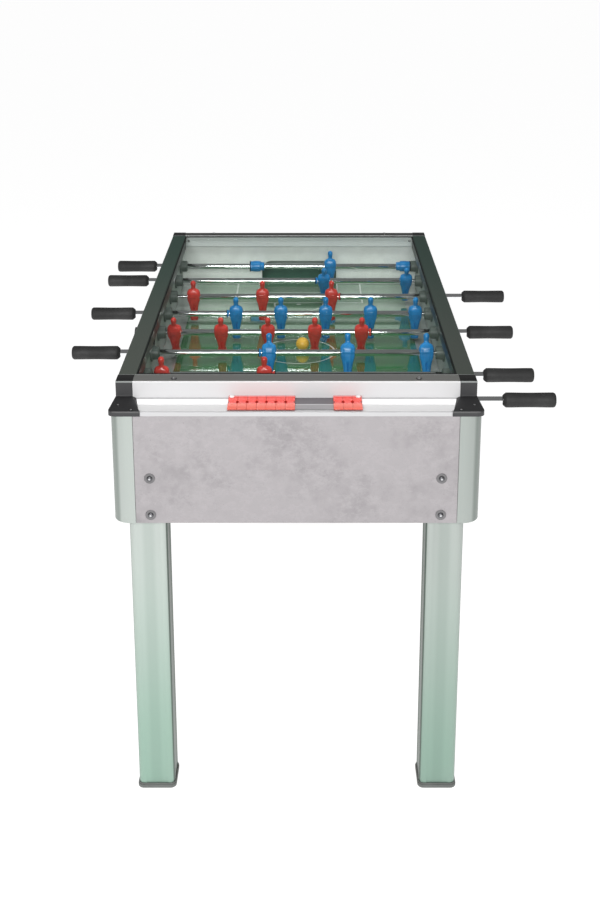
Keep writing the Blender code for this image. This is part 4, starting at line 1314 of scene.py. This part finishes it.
def bell(distance, width):
    """1 at no distance, falling off as a normal curve of this width."""
    return np.exp(-((distance / width) ** 2))


def player(centre, lean, settings):
    """A faceless moulded player, as stacked rounded sections.

    A section at height z is |x / w|^n + |y / d|^n = 1. Width w, depth d and the power n follow smooth
    curves of z. Its depth is cut by a narrow bell at x = 0 between the legs, and by two bells that
    part the arms from the chest. The whole figure leans about the rod.
    """
    wide, deep = settings.shoulder / 0.0180, settings.chest / 0.0125
    skull, tall = settings.head / 0.0073, settings.tall / 0.0480
    keys = np.array([
        (-0.0700, 0.0095, 0.0085, 3.0), (-0.0685, 0.0108, 0.0115, 3.4), (-0.0660, 0.0112, 0.0126, 3.6),
        (-0.0590, 0.0112, 0.0128, 3.6), (-0.0565, 0.0104, 0.0116, 3.2), (-0.0540, 0.0092, 0.0092, 2.8),
        (-0.0480, 0.0094, 0.0082, 2.6), (-0.0380, 0.0110, 0.0086, 2.6), (-0.0290, 0.0122, 0.0092, 2.7),
        (-0.0200, 0.0141, 0.0100, 2.8), (-0.0150, 0.0157, 0.0106, 3.0), (-0.0096, 0.0172, 0.0112, 3.2),
        (-0.0012, 0.0179, 0.0117, 3.4), (0.0002, 0.0180, 0.0127, 3.4), (0.0096, 0.0180, 0.0124, 3.4),
        (0.0140, 0.0174, 0.0114, 3.2), (0.0180, 0.0158, 0.0100, 2.9), (0.0208, 0.0128, 0.0086, 2.5),
        (0.0232, 0.0082, 0.0070, 2.2), (0.0255, 0.0060, 0.0060, 2.0), (0.0285, 0.0057, 0.0057, 2.0),
        (0.0330, 0.0065, 0.0067, 2.0), (0.0390, 0.0073, 0.0075, 2.0), (0.0430, 0.0069, 0.0071, 2.0),
        (0.0458, 0.0054, 0.0056, 2.0), (0.0474, 0.0032, 0.0033, 2.0), (0.0480, 0.0, 0.0, 2.0),
    ])
    keys[20:, 1:3] *= skull
    height, key_width, key_depth, key_power = keys.T
    z = np.unique(np.concatenate((np.linspace(height[0], height[-1], 60), height)))
    z = z[np.concatenate(([True], np.diff(z) > 0.0004))]
    w = np.interp(z, height, key_width) * np.where(z < 0.024, wide, 1.0)
    d = np.interp(z, height, key_depth) * np.where(z < 0.024, deep, 1.0)
    power = np.interp(z, height, key_power)
    w[1:-1] = (w[:-2] + 2 * w[1:-1] + w[2:]) / 4
    power[1:-1] = (power[:-2] + 2 * power[1:-1] + power[2:]) / 4
    w[-1] = d[-1] = 0.0
    angle = np.arange(40) * math.pi / 20
    c, s = np.cos(angle), np.sin(angle)
    bend = 2 / power[:, None]
    x = w[:, None] * np.sign(c) * np.abs(c) ** bend
    y = d[:, None] * np.sign(s) * np.abs(s) ** bend
    legs = np.clip((-0.020 - z) / 0.006, 0, 1) * np.clip((z + 0.066) / 0.010, 0, 1)
    arms = np.clip((z + 0.022) / 0.006, 0, 1) * np.clip((0.013 - z) / 0.006, 0, 1)
    groove = 0.42 * legs[:, None] * bell(x, 0.0016)
    groove += 0.16 * arms[:, None] * bell(np.abs(x) - 0.66 * w[:, None], 0.0013)
    y = y * (1 - groove)
    z = np.where(z > 0, z * tall, z)[:, None] + 0 * x
    leaning = (x, y * math.cos(lean) - z * math.sin(lean), y * math.sin(lean) + z * math.cos(lean))
    return grid(np.stack(leaning, -1) + centre, ends=True)


def collar(centre, radius, half, out):
    """A stop collar: a barrel that is stepped down at its inner end and waisted near the washer."""
    corners = (
        (-half, 0.0081), (-half, 0.74 * radius), (-0.55 * half, 0.78 * radius),
        (-0.45 * half, 0.95 * radius), (0.25 * half, radius), (0.62 * half, 0.92 * radius),
        (0.98 * half, 0.92 * radius), (0.98 * half, 0.0081),
    )
    radii = (0.0, 0.0012, 0.0010, 0.0016, 0.0040, 0.0010, 0.0006, 0.0)
    return turned("X", centre, rounded(corners, radii, 4) * (out, 1), 40, closed=True)


def washer(centre, radius, out):
    """A rubber ring against the collar's outer face, rounded like a tyre."""
    rim = 0.97 * radius
    corners = ((-0.0030, 0.0081), (-0.0030, rim), (0.0, rim), (0.0, 0.0081))
    outline = rounded(corners, (0.0, 0.0012, 0.0012, 0.0), 4) * (out, 1)
    return turned("X", centre, outline, 40, closed=True)


def make_tube(name, centre, side, low, high, chrome):
    """The chromed tube, open at its far end where the core rod enters."""
    far, near = (low[0], high[0]) if side > 0 else (high[0], low[0])
    far += side * 0.002
    corners = ((far, 0.0055), (far, 0.0080), (near, 0.0080), (near, 0.0055))
    outline = rounded(corners, (0.0003, 0.0005, 0.0005, 0.0003), 2)
    shells = [turned("X", centre, outline, 40, closed=True)]
    make_piece(f"{name}_tube", shells, [chrome], f"{name}_row", (), 30.0)


def make_grip(name, centre, side, rubber):
    """The grip: a chamfered inner end, a barely waisted barrel and a rounded nose with a dimple."""
    node = f"{name}_grip"
    low, high = box(node)
    inner, outer = (low[0], high[0]) if side > 0 else (high[0], low[0])
    reach = abs(outer - inner)
    radius = (high - low)[2] / 2
    t = np.linspace(0, 1, 16)[1:-1]
    waisted = radius - 0.0005 * np.sin(math.pi * t) ** 2
    turn = np.linspace(0, math.pi / 2, 8)
    nose = 0.0065
    profile = (
        (0.0, 0.0083), (0.0, 0.0112), (0.0004, 0.0117), (0.0056, radius - 0.0006),
        (0.0064, radius - 0.0001),
        *zip(0.007 + t * (reach - 0.016), waisted),
        *zip(reach - nose * (1 - np.sin(turn)), radius - nose * (1 - np.cos(turn))),
        (reach, 0.0060), (reach - 0.0012, 0.0052), (reach - 0.0012, 0.0),
    )
    shells = [turned("X", centre, np.array(profile) * (side, 1) + (inner, 0), 48)]
    make_piece(node, shells, [rubber], f"{name}_row", [node], 35.0)


class BuildRods(bpy.types.Operator):
    """Builds the core rods, the tubes with their players and collars, and the grips"""

    bl_idname = "foosball.build_rods"
    bl_label = "Rods and players"

    def execute(self, context):
        settings = context.scene.foosball_rods
        along = (0.02, 1.0, 1.0)
        chrome = metal("chrome", settings.chrome, 0.05, along, 300.0, 0.04)
        core = metal("core_steel", (0.70, 0.71, 0.72), 0.12, along, 500.0, 0.08)
        rubber = moulded_plastic("gasket_rubber", RUBBER_BLACK, 0.6, 500.0)
        for name, team, side, players, pitch, lean in ROWS:
            low, high = box(f"{name}_core_rod")
            centre = (low + high) / 2 * (0, 1, 1)
            make_core_rod(name, centre, side, low, high, core)
            low, high = box(f"{name}_rod")
            figures, collars = row_places(players, pitch, side, low, high)
            shells = [player(centre + (x, 0, 0), math.radians(lean), settings) for x in figures]
            washers = []
            for x, radius, half, out in collars:
                shells.append(collar(centre + (x, 0, 0), radius, half, out))
                washers.append(washer(centre + (x + out * half, 0, 0), radius, out))
            body, slot = f"{name}_row", f"{team}_players"
            finish = team_plastic(slot, getattr(settings, team))
            make_piece(f"{name}_players", shells, [finish], body, [f"{name}_rod"], 50.0)
            make_piece(f"{name}_washers", washers, [rubber], body)
            make_tube(name, centre, side, low, high, chrome)
            make_grip(name, centre, side, grip_rubber(settings))
        return {"FINISHED"}


class BuildBall(bpy.types.Operator):
    """Builds the ball, with the faint raised line where its two halves meet"""

    bl_idname = "foosball.build_ball"
    bl_label = "Ball"

    def execute(self, context):
        low, high = box("ball")
        turn = np.linspace(-math.pi / 2, math.pi / 2, 49)
        reach = (high - low)[2] / 2 + 0.00012 * bell(turn, 0.03)
        profile = np.stack((reach * np.sin(turn), reach * np.cos(turn)), -1)
        profile[[0, -1], 1] = 0.0
        shells = [turned("Y", (low + high) / 2, profile, 72)]
        finish = ball_plastic(context.scene.foosball_rods)
        make_piece("ball", shells, [finish], "ball", ["ball"], 60.0)
        return {"FINISHED"}


# Score counters


def bead(x, width, sign, settings):
    """One bead: a section in y and z carried across x, with a finger notch in both its ends.

    Its end at y stands half a width less half a joint from the middle, and less again by the notch,
    depth times sqrt(1 - ((y - c) / r)^2), where that is real.
    """
    corners = (
        (0.6446, 0.0010), (0.6446, 0.0064), (0.6492, 0.0064), (0.6530, 0.0048), (0.6840, 0.0040),
        (0.6866, 0.0050), (0.6910, 0.0047), (0.7130, 0.0034), (0.7155, 0.0022), (0.7155, 0.0010),
    )
    radii = (0.0002, 0.0009, 0.0012, 0.0020, 0.0012, 0.0008, 0.0012, 0.0015, 0.0005, 0.0002)
    section = rounded(corners, radii, 3)
    extra = np.linspace(0.6560, 0.6835, 16)
    slope = np.stack((extra, np.interp(extra, (0.6530, 0.6840), (0.0048, 0.0040))), -1)
    split = int(np.argmax(section[:, 0] > 0.6551))
    after = int(np.argmax((section[:, 0] > 0.6835) & (np.arange(len(section)) >= split)))
    section = np.concatenate((section[:split], slope, section[after:]))
    y, z = section.T
    middle, radius = 0.6765, 0.0065
    notch = np.sqrt(np.clip(1 - ((y - middle) / radius) ** 2, 0, 1)) * (z > 0.0020)
    half = width / 2 - settings.joint / 2 - settings.notch * notch
    edge = 0.0007
    angle = np.linspace(0, math.pi / 2, 4)[:, None]
    outward = half - edge * (1 - np.sin(angle))
    drawn = edge * (1 - np.cos(angle))
    shift = mitres(section)
    y = y - drawn * shift[:, 0]
    z = z - drawn * shift[:, 1]
    across = np.concatenate((x - outward[::-1], x + outward))
    y = np.concatenate((y[::-1], y))
    z = np.concatenate((z[::-1], z))
    return grid(placed("X", across, y * sign, z + LEDGE), ends=True)


class BuildScore(bpy.types.Operator):
    """Builds the sliding score beads and their tracks on both ends"""

    bl_idname = "foosball.build_score"
    bl_label = "Score counters"

    def execute(self, context):
        settings = context.scene.foosball_score
        finishes = [bead_plastic(settings), moulded_plastic("bead_screw_white", (0.85, 0.84, 0.84), 0.3)]
        track = track_paint(settings, LEDGE_STEP + 0.0005)
        for end, sign in ENDS:
            near = (sign * 0.1425, sign * 0.6446, LEDGE + 0.0001)
            far = (sign * -0.1370, sign * 0.7095, LEDGE + 0.0008)
            shells = [slab(near, far, 0.0002, "X")]
            make_piece(f"score_track_{end}", shells, [track], "cabinet")
        for group, sign, count in (("front_left", -1, 7), ("front_right", -1, 3), ("back", 1, 10)):
            name = f"score_beads_{group}"
            low, high = box(name)
            width = (high - low)[0] / count
            shells = []
            for k in range(count):
                shells.append(bead(low[0] + (k + 0.5) * width, width, sign, settings))
            outer = low[0] + 0.0070 if abs(low[0]) > abs(high[0]) - 1e-6 else high[0] - 0.0070
            disc = ((0.0, 0.0), (0.0, 0.0052), (0.0016, 0.0052), (0.0022, 0.0046), (0.0022, 0.0))
            spot = (outer, sign * 0.6499, LEDGE + 0.0048)
            shells.append(turned("Z", spot, disc, 28, finish=1))
            make_piece(name, shells, finishes, name, [name], 25.0)
        return {"FINISHED"}


# Stage


def softbox(scene, name, spot, turn, size, power):
    """An even rectangle of light that points down before it is turned."""
    light = bpy.data.lights.new(name, "AREA")
    light.shape = "RECTANGLE"
    light.size, light.size_y = size
    light.energy = power
    lamp = bpy.data.objects.new(name, light)
    lamp.location = spot
    lamp.rotation_euler = turn
    scene.collection.objects.link(lamp)
    return lamp


class BuildStage(bpy.types.Operator):
    """Builds the floor, the lights and the camera"""

    bl_idname = "foosball.build_stage"
    bl_label = "Stage"

    def execute(self, context):
        settings = context.scene.foosball_stage
        scene = context.scene
        scene.view_settings.view_transform = "Standard"
        mesh = bpy.data.meshes.new("floor")
        points = [(*corner, 0.0) for corner in rectangle((-60.0, -60.0), (60.0, 60.0))]
        mesh.from_pydata(points, [], [(0, 1, 2, 3)])
        floor = bpy.data.objects.new("floor", mesh)
        scene.collection.objects.link(floor)
        tint = (*shaded(settings.floor, 0.35), 1.0)
        glow = {"Emission_Color": (*settings.floor, 1.0), "Emission_Strength": 0.97}
        mesh.materials.append(surface(new_material("floor"), tint, 0.9, **glow))
        world = bpy.data.worlds.new("room")
        scene.world = world
        world.use_nodes = True
        back = world.node_tree.nodes["Background"]
        back.inputs["Color"].default_value = (1.0, 1.0, 1.0, 1.0)
        back.inputs["Strength"].default_value = settings.sky
        top = (0.0, -0.2, 3.0)
        lamp = softbox(scene, "softbox_top", top, (0, 0, 0), (3.6, 1.5), settings.top_light)
        lamp.visible_glossy = False
        front = (-0.25, -3.6, 2.3)
        turn = (math.radians(68), 0.0, math.radians(-4))
        softbox(scene, "softbox_front", front, turn, (2.2, 0.9), settings.front_light)
        camera = bpy.data.cameras.new("camera")
        camera.lens = settings.lens
        camera.sensor_width = 36.0
        camera.shift_x, camera.shift_y = -1 / 180, -1 / 5
        camera.dof.use_dof = False
        viewer = bpy.data.objects.new("camera", camera)
        viewer.location = settings.camera_at
        viewer.rotation_euler = (math.pi / 2 - settings.camera_pitch, 0.0, 0.0)
        scene.collection.objects.link(viewer)
        scene.camera = viewer
        return {"FINISHED"}


class FOOSBALL_PT_panel(bpy.types.Panel):
    """Lists the table's settings and the operators that build it"""

    bl_label = "Foosball table"
    bl_space_type = "VIEW_3D"
    bl_region_type = "UI"
    bl_category = "Foosball"

    def draw(self, context):
        layout = self.layout
        for operator in OPERATORS:
            layout.operator(operator.bl_idname)
        for key, group in GROUPS:
            section = layout.box()
            section.label(text=group.__doc__)
            for name in group.__annotations__:
                section.prop(getattr(context.scene, key), name)


GROUPS = (
    ("foosball_frame", FoosballFrame),
    ("foosball_cabinet", FoosballCabinet),
    ("foosball_field", FoosballField),
    ("foosball_rods", FoosballRods),
    ("foosball_score", FoosballScore),
    ("foosball_stage", FoosballStage),
)
OPERATORS = (
    BuildLegs, BuildCabinet, BuildTopFrame, BuildFascias, BuildField, BuildBearings, BuildRods,
    BuildBall, BuildScore, BuildStage,
)


def register():
    for key, group in GROUPS:
        bpy.utils.register_class(group)
        setattr(bpy.types.Scene, key, bpy.props.PointerProperty(type=group))
    for operator in OPERATORS:
        bpy.utils.register_class(operator)
    bpy.utils.register_class(FOOSBALL_PT_panel)


def unregister():
    bpy.utils.unregister_class(FOOSBALL_PT_panel)
    for operator in reversed(OPERATORS):
        bpy.utils.unregister_class(operator)
    for key, group in reversed(GROUPS):
        delattr(bpy.types.Scene, key)
        bpy.utils.unregister_class(group)


def main():
    register()
    for operator in OPERATORS:
        group, action = operator.bl_idname.split(".")
        getattr(getattr(bpy.ops, group), action)()


if __name__ == "__main__":
    main()
